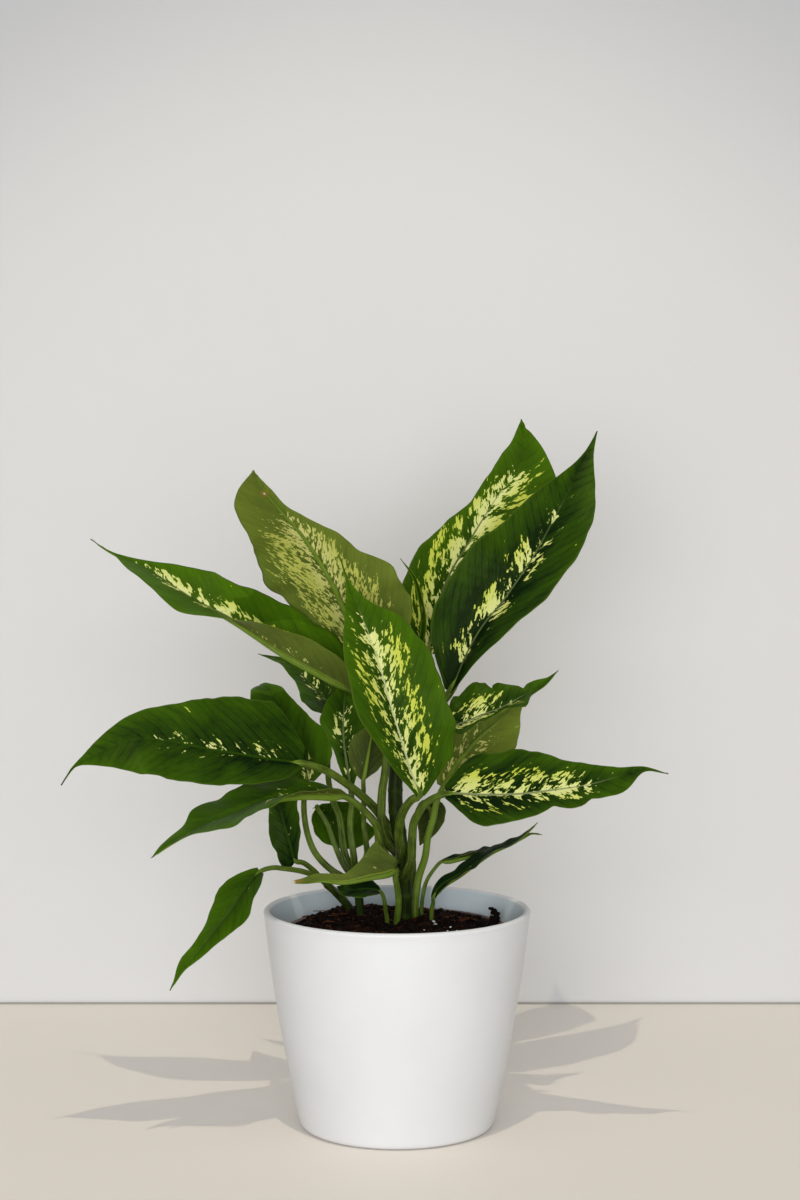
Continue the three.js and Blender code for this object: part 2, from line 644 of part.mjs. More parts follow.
addPiece('soil', cut(soilGeometry(), ...holes), finish.soil);
addPiece('grow_pot', growPotGeometry(), finish.potPlastic);
addPiece('cover_pot', coverPotGeometry().rotateX(Math.PI / 2), finish.glazedCeramic);

export default plant;
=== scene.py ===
"""Looks of a potted dieffenbachia: leaves with veins and cream flecks, stalks, peat and glazed pot.

Metres, +Z up, the plant's front at -Y. The tables below are in millimetres, as a grower would
measure the plant, and are turned to metres when a mesh is made.
"""
import functools

import math
import random

import bmesh
import bpy
import numpy as np
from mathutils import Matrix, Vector, noise


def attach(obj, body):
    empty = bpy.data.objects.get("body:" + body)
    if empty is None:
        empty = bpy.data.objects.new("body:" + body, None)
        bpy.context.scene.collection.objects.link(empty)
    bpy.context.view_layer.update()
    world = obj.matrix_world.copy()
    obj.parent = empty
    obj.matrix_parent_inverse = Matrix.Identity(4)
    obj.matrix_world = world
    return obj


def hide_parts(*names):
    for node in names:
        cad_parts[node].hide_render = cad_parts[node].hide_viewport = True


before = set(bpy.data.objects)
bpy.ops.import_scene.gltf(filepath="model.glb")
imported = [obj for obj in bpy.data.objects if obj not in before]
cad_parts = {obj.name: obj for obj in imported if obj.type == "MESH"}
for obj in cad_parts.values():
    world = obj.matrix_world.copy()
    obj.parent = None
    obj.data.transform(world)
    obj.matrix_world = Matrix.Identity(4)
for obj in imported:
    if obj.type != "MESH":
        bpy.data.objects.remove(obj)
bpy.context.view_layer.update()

MM = 0.001
BODY = "root"

# ---- Sizes, in millimetres ----

COVER = {"rim": 80, "base": 58, "height": 131, "wall": 4.2, "floor": 4, "edge": 4.5, "bulge": 2}
GROW = {"rim": 67, "rim_width": 2.6, "base": 49, "below": 12, "wall": 1.3}
GAP = 0.3
SOIL = {"below": 0.5, "heap": 7, "heap_x": -30, "heap_y": 26, "spread": 30, "rough": 0.9,
        "crumbled": 1.3, "clods": 0.11}
# Crumbs with a place of their own: x, y, height over the soil and size.
CLUMP = [(60, 18, 1, 3.2), (58, 19, 2, 2.8), (61, 18, 3, 2.2), (60, 20, 4.5, 1.9), (58, 21, 5.5, 1.7),
         (59.5, 22, 6.5, 1.7), (58, 22.5, 7.5, 1.5), (56.5, 22, 8, 1.1), (61.5, 20, 5, 1.3)]
FRONT_PERLITE = [(22, 3, 1, 1.1), (23, -1, 1, 1.3), (30, -16, 1, 0.7)]
GROW_TOP = COVER["height"] - GROW["below"]
GROW_FOOT = COVER["floor"] + GAP

BLADE_MIDDLE = 0.5   # thickness of a blade by its midrib
BLADE_EDGE = 0.26    # and at its margin
VEIN_STEP = 7.5      # between the side veins
VEIN_RELIEF = 0.16   # how far the blade swells between them
RIB_BASE = 1.5       # half width of the midrib at the blade's base
RIB_TIP = 0.35
VEIN_LEAN = 1.0      # how far a side vein runs forward for each step outward, by the midrib
VEIN_BEND = 0.4      # and how much more by the margin
NO_CREAM = -0.7      # on the map of cream, where a blade is plain green
RIB_VALLEY = 0.5     # how deep the midrib lies in the upper side at the blade's base
RIB_SUNK = 0.78      # share of the rib's radius that lies below the underside
RIB_TONE = 0.95      # the rib is paler under the blade than the stalk is
GROOVE = 0.28        # along the inner side of a stalk, as a share of its radius
SHEATH = 0.35        # how far the wings by a stalk's foot stand out, as a share of its radius
FOOT_SHADE = 0.35    # a stalk is darker by its foot, in the shade of the others
# Unevenness of a margin, as on any grown leaf: height, count, and phase by leaf and by half.
MARGIN_ROUGH = ((0.018, 6.3, 0.31, 0.4), (0.007, 14.7, 0.17, 0))
FINE_RIPPLE = 0.5    # height of the finer ripples of a margin
FINE_COUNT = 2.3     # of them to each of the wave's
LEAST_HALF = 0.25    # half width of a blade where it is thinnest
BLADE_STEP = 1.5     # between the rows of a blade's mesh
RIB_STEP = 2.5       # between the rings of the midrib under it
STALK_STEP = 2.2     # and of the stalk
STEM_STEP = 1.2
SCAR_STEP = 13.0     # between the scars that fallen leaves leave on a stem
CREAM_RIB = 2.2      # half width of the cream along a cream midrib
FLECK_SHIFT = 7.3    # from one leaf's flecks to the next one's, so that no two leaves match

# Stems: middle line from below the soil upwards, and the radius at foot and top.
STEMS = {
    "stem_main": ([(4, 14, 104), (4, 14, 126), (4, 12, 147), (2, 10, 167), (-1, 9, 195), (0, 9, 216),
                   (3, 10, 234), (8, 12, 248), (11, 13, 256)], (5, 4)),
    "stem_left": ([(-21, 10, 104), (-22, 10, 123), (-23, 9, 136), (-25, 8, 154)], (2.8, 2.4)),
    "stem_side": ([(-20, 22, 104), (-29, 20, 127), (-37, 17, 137), (-43, 14, 143)], (3, 2.2)),
}

# Leaves. stalk: middle line of the stalk from its foot. blade: the midrib from base to tip.
# left, right: half widths at even steps from base to tip, as the upper side is seen with the tip
# up. radius: of the stalk at its foot and neck. face, tip_face: where the upper side looks.
# fold: how far the halves turn up, in degrees at even steps. wave: height, count and phase of the
# ripples of the margin. nicks: (half, place, width, depth) of a dent in the margin.
# cream: share of the surface by the midrib that is cream; reach: how far out the flecks go; run:
# where along the blade they start and stop. clumps: how much the cream rises and falls along the
# blade, how often and with what phase. tone: 0 dark to 1 bright green. rib: 0 green midrib to 1
# cream. stalk_tone: 0 dark to 1 pale. spot: how far along the blade, how far off the midrib and
# how large a dead spot is. A fold, cream or reach is a number for both halves, or left and right,
# and right is as left where it isn't given.
PLAIN_LEAF = dict(
    tip_face=None, fold=(20, 10, 5), wave=(0, 1, 0), nicks=(), cream=-0.5, reach=0.4, run=(0, 0.9),
    clumps=(0, 1, 0), rib=0, stalk_tone=0.5, spot=(3, 0, 1))
LEAVES = {
    "leaf_top_back": dict(
        stalk=[(11, 13, 252), (16, 20, 260), (19, 27, 271)],
        blade=[(19, 32, 281), (24, 42, 307), (32, 51, 328), (46, 60, 351), (60, 67, 373), (73, 74, 391),
               (80, 78, 406), (78, 83, 425)],
        left=(3, 15, 24, 25, 22, 18, 12.5, 12.5, 13, 10, 0),
        right=(4, 15, 22, 28, 32.5, 35, 36, 35.5, 31, 9.5, 0),
        radius=(2.6, 2.2), face=(0, -0.9, 0.4), fold=(20, (10, 8), (10, 5)), wave=(1.5, 3, 0.2),
        nicks=[(1, 0.965, 0.012, 0.35)], cream=0.42, reach=(1.1, 0.85), run=(-0.1, 0.95), tone=0.45,
        rib=0.12),
    "leaf_top_right": dict(
        stalk=[(10, 12, 244), (18, 13, 248), (26, 11, 253)],
        blade=[(32, 10, 260), (43, 10, 285), (52, 12, 300), (65, 15, 316), (81, 20, 339), (96, 28, 365),
               (110, 38, 392), (123, 50, 417)],
        left=(4, 19, 31, 33.5, 35.5, 31, 24, 18.5, 9, 2, 0),
        right=(4, 13, 23.5, 25, 27.5, 27, 26.5, 23, 15.5, 5.5, 0),
        radius=(3.2, 2.4), face=(0, -1, 0.3), tip_face=(0.1, -1, 0.3), fold=((10, 70), (5, 35), (5, 10)),
        wave=(1.2, 3, 0), cream=(0.28, 0.16), reach=(0.5, 0.4), run=(0, 0.82), clumps=(0.24, 5.5, -0.52),
        tone=0.14, rib=0.1),
    "leaf_top_left": dict(
        stalk=[(1, 11, 161), (-6, 6, 170), (-9, 1, 182), (-9, -2, 200), (-7, -5, 214), (-6, -5, 232),
               (-8, -3, 250)],
        blade=[(-11, -1, 266), (-21, -4, 286), (-31, -10, 311), (-39, -16, 329), (-54, -27, 354),
               (-68, -38, 371), (-77, -47, 383), (-82, -53, 393)],
        left=(4, 26, 36, 38, 36, 23, 18, 9, 4.3, 3.5, 0),
        right=(4, 15, 24, 29, 34.5, 39.5, 38.5, 32.5, 27, 21.7, 0),
        radius=(2.8, 2.2), face=(0.1, 0.9, 0.4), fold=(15, 12, 10), wave=(2, 4, 0.3), cream=(0.52, 0.5),
        reach=(0.75, 0.9), run=(-0.1, 0.9), tone=0.58, rib=0.05, spot=(0.893, 1, 1.4)),
    "leaf_far_left": dict(
        stalk=[(2, 10, 226), (-4, 7, 235), (-12, 2, 246), (-19, -4, 256)],
        blade=[(-27, -8, 263), (-42, -14, 272), (-64, -17, 284), (-98, -16, 306), (-121, -12, 318),
               (-148, -5, 335), (-170, 2, 344), (-183, 6, 352)],
        left=(6, 17, 19, 18, 18, 20, 24, 19, 14, 1.2, 0),
        right=(6, 24, 27, 27, 27, 24, 22, 15.5, 5.5, 1.2, 0),
        radius=(3, 2.2), face=(0.3, -0.85, 0.45), tip_face=(0.3, -0.5, 0.8),
        fold=((100, 10), (105, 10), (35, 10), (15, 10), 10), wave=(1.5, 3, 0), cream=(0, 0.5),
        reach=(0.35, 0.48), run=(0.05, 0.98), tone=0.58, rib=0.05),
    "leaf_front": dict(
        stalk=[(2, 10, 158), (2, 2, 166), (1, -4, 176), (2, -13, 186), (5, -24, 195), (9, -32, 201)],
        blade=[(13, -36, 204), (8, -41, 219), (2, -45, 239), (-4, -46, 259), (-9, -44, 277),
               (-15, -40, 295), (-22, -36, 312), (-28, -33, 326), (-33, -28, 342)],
        left=(3, 9.5, 16, 22, 28.5, 26.5, 24, 18, 9, 1, 0),
        right=(3, 24, 31, 32.5, 32, 32, 27, 21, 7.5, 1.5, 0),
        radius=(3.1, 2.3), face=(0.45, -0.9, 0.1), tip_face=(0.4, -0.9, 0.1), fold=(25, 20, 10),
        wave=(0.8, 3, 0), cream=(0.32, 0.3), reach=(0.88, 0.78), run=(-0.05, 0.86), tone=0.42, rib=0.75),
    "leaf_left_small": dict(
        stalk=[(-24, 9, 148), (-31, 12, 159), (-35, 16, 184), (-39, 19, 193), (-42, 23, 209),
               (-41, 27, 227)],
        blade=[(-36, 30, 242), (-43, 37, 252), (-57, 50, 265), (-70, 60, 274), (-87, 72, 278)],
        left=(8, 18, 18.5, 15.5, 11.5, 8.5, 7, 4.5, 3.5, 1.5, 0),
        right=(6, 15, 17, 17, 14.5, 10.5, 7, 4.5, 2.5, 1.2, 0),
        radius=(2.2, 1.5), face=(0.2, -0.6, 0.75), wave=(0.8, 3, 0), cream=(0.2, 0.14), reach=0.5,
        run=(0, 0.7), tone=0.32, rib=0.02),
    "leaf_left_large": dict(
        stalk=[(0, 10, 170), (-7, 9, 181), (-14, 5, 191), (-22, -3, 200), (-31, -10, 208), (-42, -17, 216)],
        blade=[(-55, -24, 221), (-73, -35, 225), (-100, -47, 231), (-113, -53, 234), (-134, -60, 239),
               (-149, -65, 240), (-163, -69, 236), (-174, -72, 231), (-183, -73, 225), (-190, -74, 215)],
        left=(2.5, 13.5, 19, 22, 24.5, 25, 25, 23, 12.5, 1.5, 0),
        right=(9, 31, 34.5, 33, 30.5, 25, 19.5, 13.5, 7, 1.5, 0),
        radius=(2.7, 2.2), face=(0, -0.85, 0.5), fold=(15, 10, 5), wave=(0.8, 2, 0), cream=(-0.1, 0),
        reach=(0.3, 0.36), run=(0.02, 0.8), tone=0.25),
    "leaf_left_behind": dict(
        stalk=[(-24, 9, 138), (-31, 8, 147), (-39, 9, 152), (-45, 11, 157), (-50, 13, 163), (-54, 14, 173),
               (-56, 13, 185), (-56, 11, 196)],
        blade=[(-54, 9, 207), (-57, 9, 221), (-64, 14, 236), (-72, 24, 251), (-82, 38, 261),
               (-89, 52, 258)],
        left=(5, 14, 18, 20, 20, 19, 17, 14.5, 9.5, 5, 0),
        right=(6, 19, 22, 18, 14, 11, 8.5, 8, 4, 2.5, 0),
        radius=(2.2, 1.6), face=(-0.45, -0.85, 0.3), tip_face=(0, -0.5, 0.9), fold=(15, 10, 5),
        wave=(0.8, 2, 0), cream=0.2, reach=0.5, run=(-0.1, 0.3), tone=0.42),
    "leaf_left_low": dict(
        stalk=[(1, 11, 147), (-4, 3, 157), (-10, -4, 169), (-12, -10, 182), (-18, -16, 191),
               (-24, -20, 197)],
        blade=[(-31, -24, 202), (-47, -34, 205), (-65, -44, 205), (-80, -52, 202), (-96, -59, 196),
               (-113, -67, 190), (-129, -73, 181), (-139, -77, 174)],
        left=(3, 9, 12, 14, 16, 18, 21.5, 15, 6.5, 1, 0),
        right=(4, 14, 18, 20, 20, 17.5, 19, 16.5, 8.5, 5.5, 0),
        radius=(2.8, 2.2), face=(0, -0.2, 1), tip_face=(-0.2, -0.3, 0.9), fold=((40, 15), (10, 15), 5),
        wave=(1.5, 4, 0), cream=-0.05, reach=0.5, run=(0, 0.6), tone=0.45),
    "leaf_left_hanging": dict(
        stalk=[(-37, 17, 137), (-45, 15, 145), (-51, 12, 152), (-57, 9, 157)],
        blade=[(-61, 7, 158), (-64, 5, 168), (-68, 6, 182), (-72, 9, 197), (-75, 13, 209)],
        left=(8, 9, 9.5, 11, 10.5, 9, 7.5, 6, 5, 3, 0),
        right=(2, 4, 6, 9, 10, 11, 11, 11.5, 9, 5, 0),
        radius=(2, 1.5), face=(-0.2, -0.95, 0.1), wave=(0.8, 2, 0), cream=-0.4, tone=0.15),
    "leaf_drooping": dict(
        stalk=[(-36, 17, 136), (-40, 8, 142), (-45, 2, 148), (-51, -4, 152), (-58, -9, 155),
               (-67, -13, 157), (-74, -16, 158)],
        blade=[(-81, -18, 156), (-90, -25, 146), (-98, -31, 134), (-105, -35, 126), (-113, -39, 116),
               (-120, -42, 108), (-127, -44, 101), (-132, -45, 91)],
        left=(5, 11, 11.5, 13.5, 11.5, 8.5, 6, 4, 2, 2, 0),
        right=(3, 8.5, 13, 12.5, 10.5, 7, 6, 5.5, 5, 1, 0),
        radius=(1.9, 1.4), face=(-0.3, -0.9, 0.3), fold=((40, 20), 10, 5), wave=(0.8, 2, 0), tone=0.5,
        rib=0.02),
    "leaf_folded_pale": dict(
        stalk=[(-1, 2, 104), (0, 1, 123), (1, -2, 136), (0, -6, 145), (-1, -10, 151)],
        blade=[(-1, -13, 156), (-8, -16, 155), (-16, -19, 154), (-31, -21, 151), (-45, -23, 152),
               (-54, -25, 151), (-62, -26, 151)],
        left=(6, 17, 18, 11, 7, 4.5, 4, 4, 4, 2.5, 1),
        radius=(2.2, 1.7), face=(0, 0.2, 1), fold=((80, 60), (80, 60), (70, 60)), wave=(0.5, 2, 0),
        tone=0.46, rib=0.05, stalk_tone=0.7, spot=(1, 0, 3.5)),
    "leaf_folded_dark": dict(
        stalk=[(-6, 2, 104), (-6, 2, 123), (-7, -1, 131), (-8, -4, 138)],
        blade=[(-10, -6, 142), (-18, -8, 144), (-29, -8, 143), (-36, -6, 145)],
        left=(2, 7, 9, 9, 7.5, 5, 0),
        radius=(1.5, 1.2), face=(0, -0.5, 0.85), fold=(10, 10, 5), tone=0.05),
    "leaf_mid_left": dict(
        stalk=[(-25, 7, 150), (-26, 2, 162), (-28, 2, 181), (-27, 1, 195)],
        blade=[(-28, 1, 205), (-30, -1, 218), (-32, 1, 233), (-32, 5, 246), (-31, 12, 261), (-27, 20, 274)],
        left=(2.5, 4, 5.5, 7, 10, 14, 13, 9.5, 4.5, 2, 0),
        right=(2.5, 6, 9, 12, 13.5, 14, 13, 9.5, 5, 2, 0),
        radius=(2.3, 1.6), face=(0, -1, 0.1), tip_face=(0, -0.9, 0.5), wave=(0.5, 2, 0), cream=0.12,
        reach=0.6, run=(0, 0.85), tone=0.32, rib=0.15),
    "leaf_mid_inner": dict(
        stalk=[(-21, 8, 148), (-18, 10, 158), (-20, 9, 180), (-20, 8, 190), (-20, 3, 201)],
        blade=[(-20, -3, 209), (-18, -5, 220), (-16, -4, 231), (-14, 0, 242)],
        left=(2, 8, 11, 12, 11, 7, 0),
        radius=(2, 1.3), face=(-0.1, 0.95, 0.2), fold=((20, 3), (20, 3), (15, 3)), tone=0.1, rib=0.02),
    "leaf_right_small": dict(
        stalk=[(-1, 9, 213), (8, 0, 219), (17, -5, 226), (24, -7, 233)],
        blade=[(31, -8, 240), (43, -9, 245), (50, -9, 248), (61, -9, 252), (74, -8, 259), (84, -6, 264),
               (96, -2, 274)],
        left=(4, 17, 19.5, 20.5, 19.5, 16, 10, 6.5, 5.2, 1.5, 0),
        right=(4, 13, 13, 11, 8, 9.5, 15.5, 6.5, 3, 2, 0),
        radius=(2.4, 1.7), face=(0, -0.45, 0.9), fold=((30, 5), (30, 20), (20, 10)), wave=(1.6, 4, 0),
        nicks=[(0, 0.44, 0.02, 0.2), (0, 0.68, 0.02, 0.35)], cream=0.3, reach=0.8, run=(-0.05, 0.75),
        tone=0.3, rib=0.2, spot=(0.22, -7, 0.5)),
    "leaf_right_back": dict(
        stalk=[(10, 22, 104), (11, 22, 130), (13, 22, 145), (17, 21, 158), (19, 20, 172), (22, 20, 182),
               (24, 20, 192)],
        blade=[(28, 21, 201), (37, 24, 216), (48, 27, 229), (60, 30, 239), (71, 33, 248), (78, 36, 252)],
        left=(4, 12, 17, 20, 22, 23, 23, 21.5, 15.5, 8, 0),
        right=(4, 10, 14, 17, 19, 20, 19, 17, 13, 7, 0),
        radius=(2.7, 1.8), face=(0.1, 0.9, 0.3), fold=(15, 10, 5), wave=(0.8, 2, 0), cream=0.22, reach=0.55,
        run=(-0.1, 0.75), tone=0.7, rib=0.3, stalk_tone=1.1),
    "leaf_right_large": dict(
        stalk=[(4, 9, 146), (8, 4, 157), (9, 0, 171), (10, -5, 183), (13, -10, 190), (17, -13, 196),
               (23, -15, 200)],
        blade=[(29, -16, 202), (52, -27, 203), (74, -36, 205), (90, -43, 208), (110, -50, 212),
               (126, -55, 217), (141, -59, 222), (155, -62, 220)],
        left=(5, 22, 25, 26.5, 25, 20, 15, 10.5, 5, 1.8, 0),
        right=(4, 13.5, 23, 21.5, 17, 12.5, 14, 10.5, 10, 1.5, 0),
        radius=(3.1, 2), face=(0, -0.85, 0.5), wave=(1.2, 3, 0),
        nicks=[(1, 0.5, 0.02, 0.12), (1, 0.66, 0.02, 0.15)], cream=(0.36, 0.38), reach=(0.78, 0.8),
        run=(-0.05, 0.82), tone=0.2, rib=0.3),
    "leaf_right_twisted": dict(
        stalk=[(21, 18, 104), (21, 18, 126), (22, 18, 131)],
        blade=[(22, 17, 134), (27, 15, 142), (37, 12, 149), (46, 9, 156), (57, 5, 164), (71, 1, 171),
               (77, -1, 176), (84, -3, 183)],
        left=(1.5, 4.5, 6.5, 7, 6.5, 5, 3, 0),
        radius=(1.5, 1.3), face=(0.2, -0.5, 0.8), tip_face=(-0.3, -0.1, 0.9), fold=(20, 10, 10),
        wave=(0.8, 3, 0), tone=-0.04),
    "leaf_right_narrow": dict(
        stalk=[(15, 26, 104), (15, 26, 128), (16, 26, 135), (18, 25, 143), (23, 24, 151)],
        blade=[(27, 24, 155), (35, 24, 157), (44, 24, 159), (54, 23, 161), (66, 22, 165), (76, 21, 170),
               (82, 20, 173), (88, 20, 172)],
        left=(1.5, 4.5, 6.5, 7, 6.5, 5, 3, 0),
        radius=(1.4, 1.2), face=(0, 0, 1), wave=(0.8, 3, 0), tone=-0.04),
    "leaf_back_left": dict(
        stalk=[(-22, 10, 139), (-27, 19, 146), (-33, 22, 154), (-38, 26, 165), (-43, 29, 178)],
        blade=[(-49, 32, 187), (-46, 38, 183), (-37, 46, 175), (-25, 50, 169), (-12, 52, 169)],
        left=(3, 11, 15, 15, 13, 8, 0),
        right=(3, 10, 14, 14, 12, 7, 0),
        radius=(2, 1.4), face=(0, -1, 0.1), fold=(10, 10, 5), cream=0, tone=0.5, rib=0.02),
    "leaf_back_hanging": dict(
        stalk=[(7, 28, 104), (7, 28, 128), (10, 27, 150), (9, 27, 164), (10, 28, 174), (12, 32, 184)],
        blade=[(16, 36, 190), (20, 42, 186), (21, 46, 180), (19, 48, 171), (14, 48, 161)],
        left=(2, 7, 9, 9, 7, 4, 0),
        radius=(2.2, 1.4), face=(0, 0.5, 0.9), tip_face=(0, 1, 0.2), fold=(10, 10, 5), tone=0.12, rib=0.02),
    "leaf_new_rolled": dict(
        stalk=[(9, 12, 248), (7, 13, 262)],
        blade=[(11, 16, 276), (16, 20, 300), (14, 20, 316), (10, 19, 329), (2, 18, 340)],
        left=(2, 5, 6, 6, 5, 3, 0),
        radius=(2, 1.3), face=(0, -1, 0), fold=(70, 75, 75), cream=0.2, reach=0.6, tone=0.7, rib=0.1),
}


# ---- Colours and shader nodes ----

def paint(code):
    """Linear colour of an sRGB hex value."""
    parts = [int(code[i:i + 2], 16) / 255 for i in (1, 3, 5)]
    linear = [c / 12.92 if c <= 0.04045 else ((c + 0.055) / 1.055) ** 2.4 for c in parts]
    return (*linear, 1.0)


def feed(shader, inputs):
    """Sets inputs, named or in order: to values, sockets, or nodes for their first output in use."""
    for name, value in inputs.items() if isinstance(inputs, dict) else enumerate(inputs):
        if isinstance(value, bpy.types.Node):
            value = next(output for output in value.outputs if output.enabled)
        if isinstance(value, bpy.types.NodeSocket):
            shader.id_data.links.new(value, shader.inputs[name])
        else:
            shader.inputs[name].default_value = value


def add_node(tree, kind, inputs=(), **settings):
    """Adds a shader node with its settings and links.

    A Mix node of colours takes its share as input 0 and the colours as inputs 6 and 7.
    """
    made = tree.nodes.new("ShaderNode" + kind)
    for name, value in settings.items():
        setattr(made, name, value)
    feed(made, inputs)
    return made


def new_material(name):
    """A node material with only its surface shader, and what adds nodes to it."""
    material = bpy.data.materials.new(name)
    material.use_nodes = True
    material.node_tree.nodes.clear()
    node = functools.partial(add_node, material.node_tree)
    surface = node("BsdfPrincipled")
    node("OutputMaterial", {"Surface": surface})
    return material, node, surface


def vein_pattern(node, weights):
    """What the blades' maps hold, and the masks of the cream and yellow flecks.

    weights: of the clusters, blotches, streaks and flecks in the masks.
    """
    vein, place, cream, tone = (
        node("SeparateXYZ", (node("UVMap", uv_map=name),)).outputs
        for name in ("vein", "place", "cream", "tone"))

    patterns = []
    # Vein map units are centimetres: how many clusters, blotches, streaks and flecks stand in one
    # across the side veins and along them.
    for across, along_vein, detail in ((0.6, 0.5, 1.0), (1.7, 1.3, 2.0), (3.6, 2.4, 2.0), (8.0, 5.0, 1.0)):
        stretched = node("CombineXYZ", (
            node("Math", (vein[0], across), operation="MULTIPLY"),
            node("Math", (vein[1], along_vein), operation="MULTIPLY")))
        patterns.append(node("TexNoise", {
            "Vector": stretched, "Scale": 1.0, "Detail": detail, "Roughness": 0.5, "Distortion": 0.35,
        }, noise_dimensions="2D"))

    masks = []
    for gain, soft in ((1.0, 0.05), (1.2, 0.09)):
        level = 0
        for share, pattern in zip(weights, patterns):
            level = node("Math", (pattern, share, level), operation="MULTIPLY_ADD")
        spread = node("MapRange", (level, 0.42, 0.58), clamp=False)
        wanted = node("Math", (cream[0], gain, spread), operation="MULTIPLY_ADD")
        masks.append(node("MapRange", (wanted, 1.0 - soft, 1.0 + soft), interpolation_type="SMOOTHSTEP"))
    return {
        "run": vein[0], "out": place[0], "t": place[1], "across": cream[1],
        "tone": tone[0], "rib_tone": tone[1],
        "cluster": patterns[0], "streak": patterns[2], "fleck": patterns[3],
        "cream": masks[0], "yellow": masks[1],
    }


def blade_material(name, colours, weights, roughness, gloss, fleck_share, bump):
    """A blade's skin. colours: dark, bright, fleck, cream, outer cream, green and pale rib, margin."""
    material, node, surface = new_material(name)
    dark, bright, yellow, pale, sunny, rib_green, rib_pale, margin = (paint(c) for c in colours)
    found = vein_pattern(node, weights)

    # Ground green: painted shade along each side vein where the blade dips, and a faint painted light on the
    # swells between, soft clouds, brighter towards margin and tip.
    swell = node("Math", (found["run"], math.tau * 10 / VEIN_STEP), operation="MULTIPLY")
    swell = node("Math", (swell,), operation="SINE")
    painted_vein_shade = node("MapRange", (swell, -1.0, -0.6, -0.06, 0.02), interpolation_type="SMOOTHSTEP")
    lift = node("Math", (painted_vein_shade, found["tone"]), operation="ADD")
    for part, low, high, least, most in (
            ("cluster", 0.3, 0.7, -0.09, 0.09), ("streak", 0.3, 0.7, -0.04, 0.04),
            ("across", 0.2, 1.0, -0.1, 0.13), ("t", 0.1, 0.9, -0.1, 0.13)):
        brighter = node("MapRange", (found[part], low, high, least, most))
        lift = node("Math", (lift, brighter), operation="ADD")
    lift = node("Clamp", (lift,))
    colour = node("Mix", {0: lift, 6: dark, 7: bright}, data_type="RGBA")

    # The flecks are cream by the midrib and more yellow farther out, over yellow-green ones.
    on_yellow = node("Math", (found["yellow"], fleck_share), operation="MULTIPLY")
    farther = node("MapRange", (found["out"], 0.1, 1.2))
    cream = node("Mix", {0: farther, 6: pale, 7: sunny}, data_type="RGBA")
    on_cream = node("Math", (found["cream"], 0.95), operation="MULTIPLY")

    # Midrib: its width falls from base to tip, and its colour ends before the tip.
    width = node("MapRange", {0: found["t"], 3: 0.09, 4: 0.02})
    ratio = node("Math", (found["out"], width), operation="DIVIDE")
    on_rib = node("MapRange", (ratio, 0.7, 1.5, 1.0, 0.0), interpolation_type="SMOOTHSTEP")
    before_tip = node("MapRange", (found["t"], 0.5, 0.8, 1.0, 0.0))
    on_rib = node("Math", (on_rib, before_tip), operation="MULTIPLY")
    rib = node("Mix", {0: found["rib_tone"], 6: rib_green, 7: rib_pale}, data_type="RGBA")
    on_margin = node("MapRange", (found["across"], 0.955, 0.99, 0.0, 0.75))

    layers = [(on_yellow, yellow), (on_cream, cream), (on_rib, rib), (on_margin, margin)]
    # A dead spot: straw inside, brown round it. Its map is the way from the spot.
    away = node("VectorMath", (node("UVMap", uv_map="spot"),), operation="LENGTH")
    for code, inner, outer in (("#8a6a30", 0.08, 0.24), ("#d8ceb4", 0.03, 0.08)):
        layers.append((node("MapRange", (away, inner, outer, 0.9, 0.0)), paint(code)))
    for share, layer in layers:
        colour = node("Mix", {0: share, 6: colour, 7: layer}, data_type="RGBA")

    rough = node("MapRange", (found["fleck"], 0.3, 0.7, roughness - 0.05, roughness + 0.07))
    fine = node("Math", (found["streak"], 0.6, found["fleck"]), operation="MULTIPLY_ADD")
    relief = node("Bump", {"Strength": bump, "Distance": 0.25 * MM, "Height": fine})
    feed(surface, {"Base Color": colour, "Roughness": rough, "Normal": relief, "IOR": 1.45,
                   "Specular IOR Level": gloss, "Specular Tint": paint("#e6ffa0")})
    return material


def leaf_upper_material():
    """Waxy upper skin: smooth cuticle over dark green tissue, cream where the tissue has no green."""
    return blade_material(
        "leaf skin, waxy upper side",
        ("#0b1d09", "#4a7007", "#8ba41c", "#d3d690", "#bcc34e", "#26400a", "#ccd29c", "#42591a"),
        weights=(0.25, 0.33, 0.28, 0.14), roughness=0.4, gloss=0.07, fleck_share=0.85, bump=0.15)


def leaf_under_material():
    """Matt underside: the same flecks show through, duller, with the veins raised and paler."""
    return blade_material(
        "leaf skin, matt underside",
        ("#333d1c", "#6b7c2a", "#93a03c", "#c6c47c", "#b3b658", "#6c7c28", "#aab25e", "#5c6a28"),
        weights=(0.14, 0.26, 0.36, 0.24), roughness=0.5, gloss=0.08, fleck_share=0.7, bump=0.3)


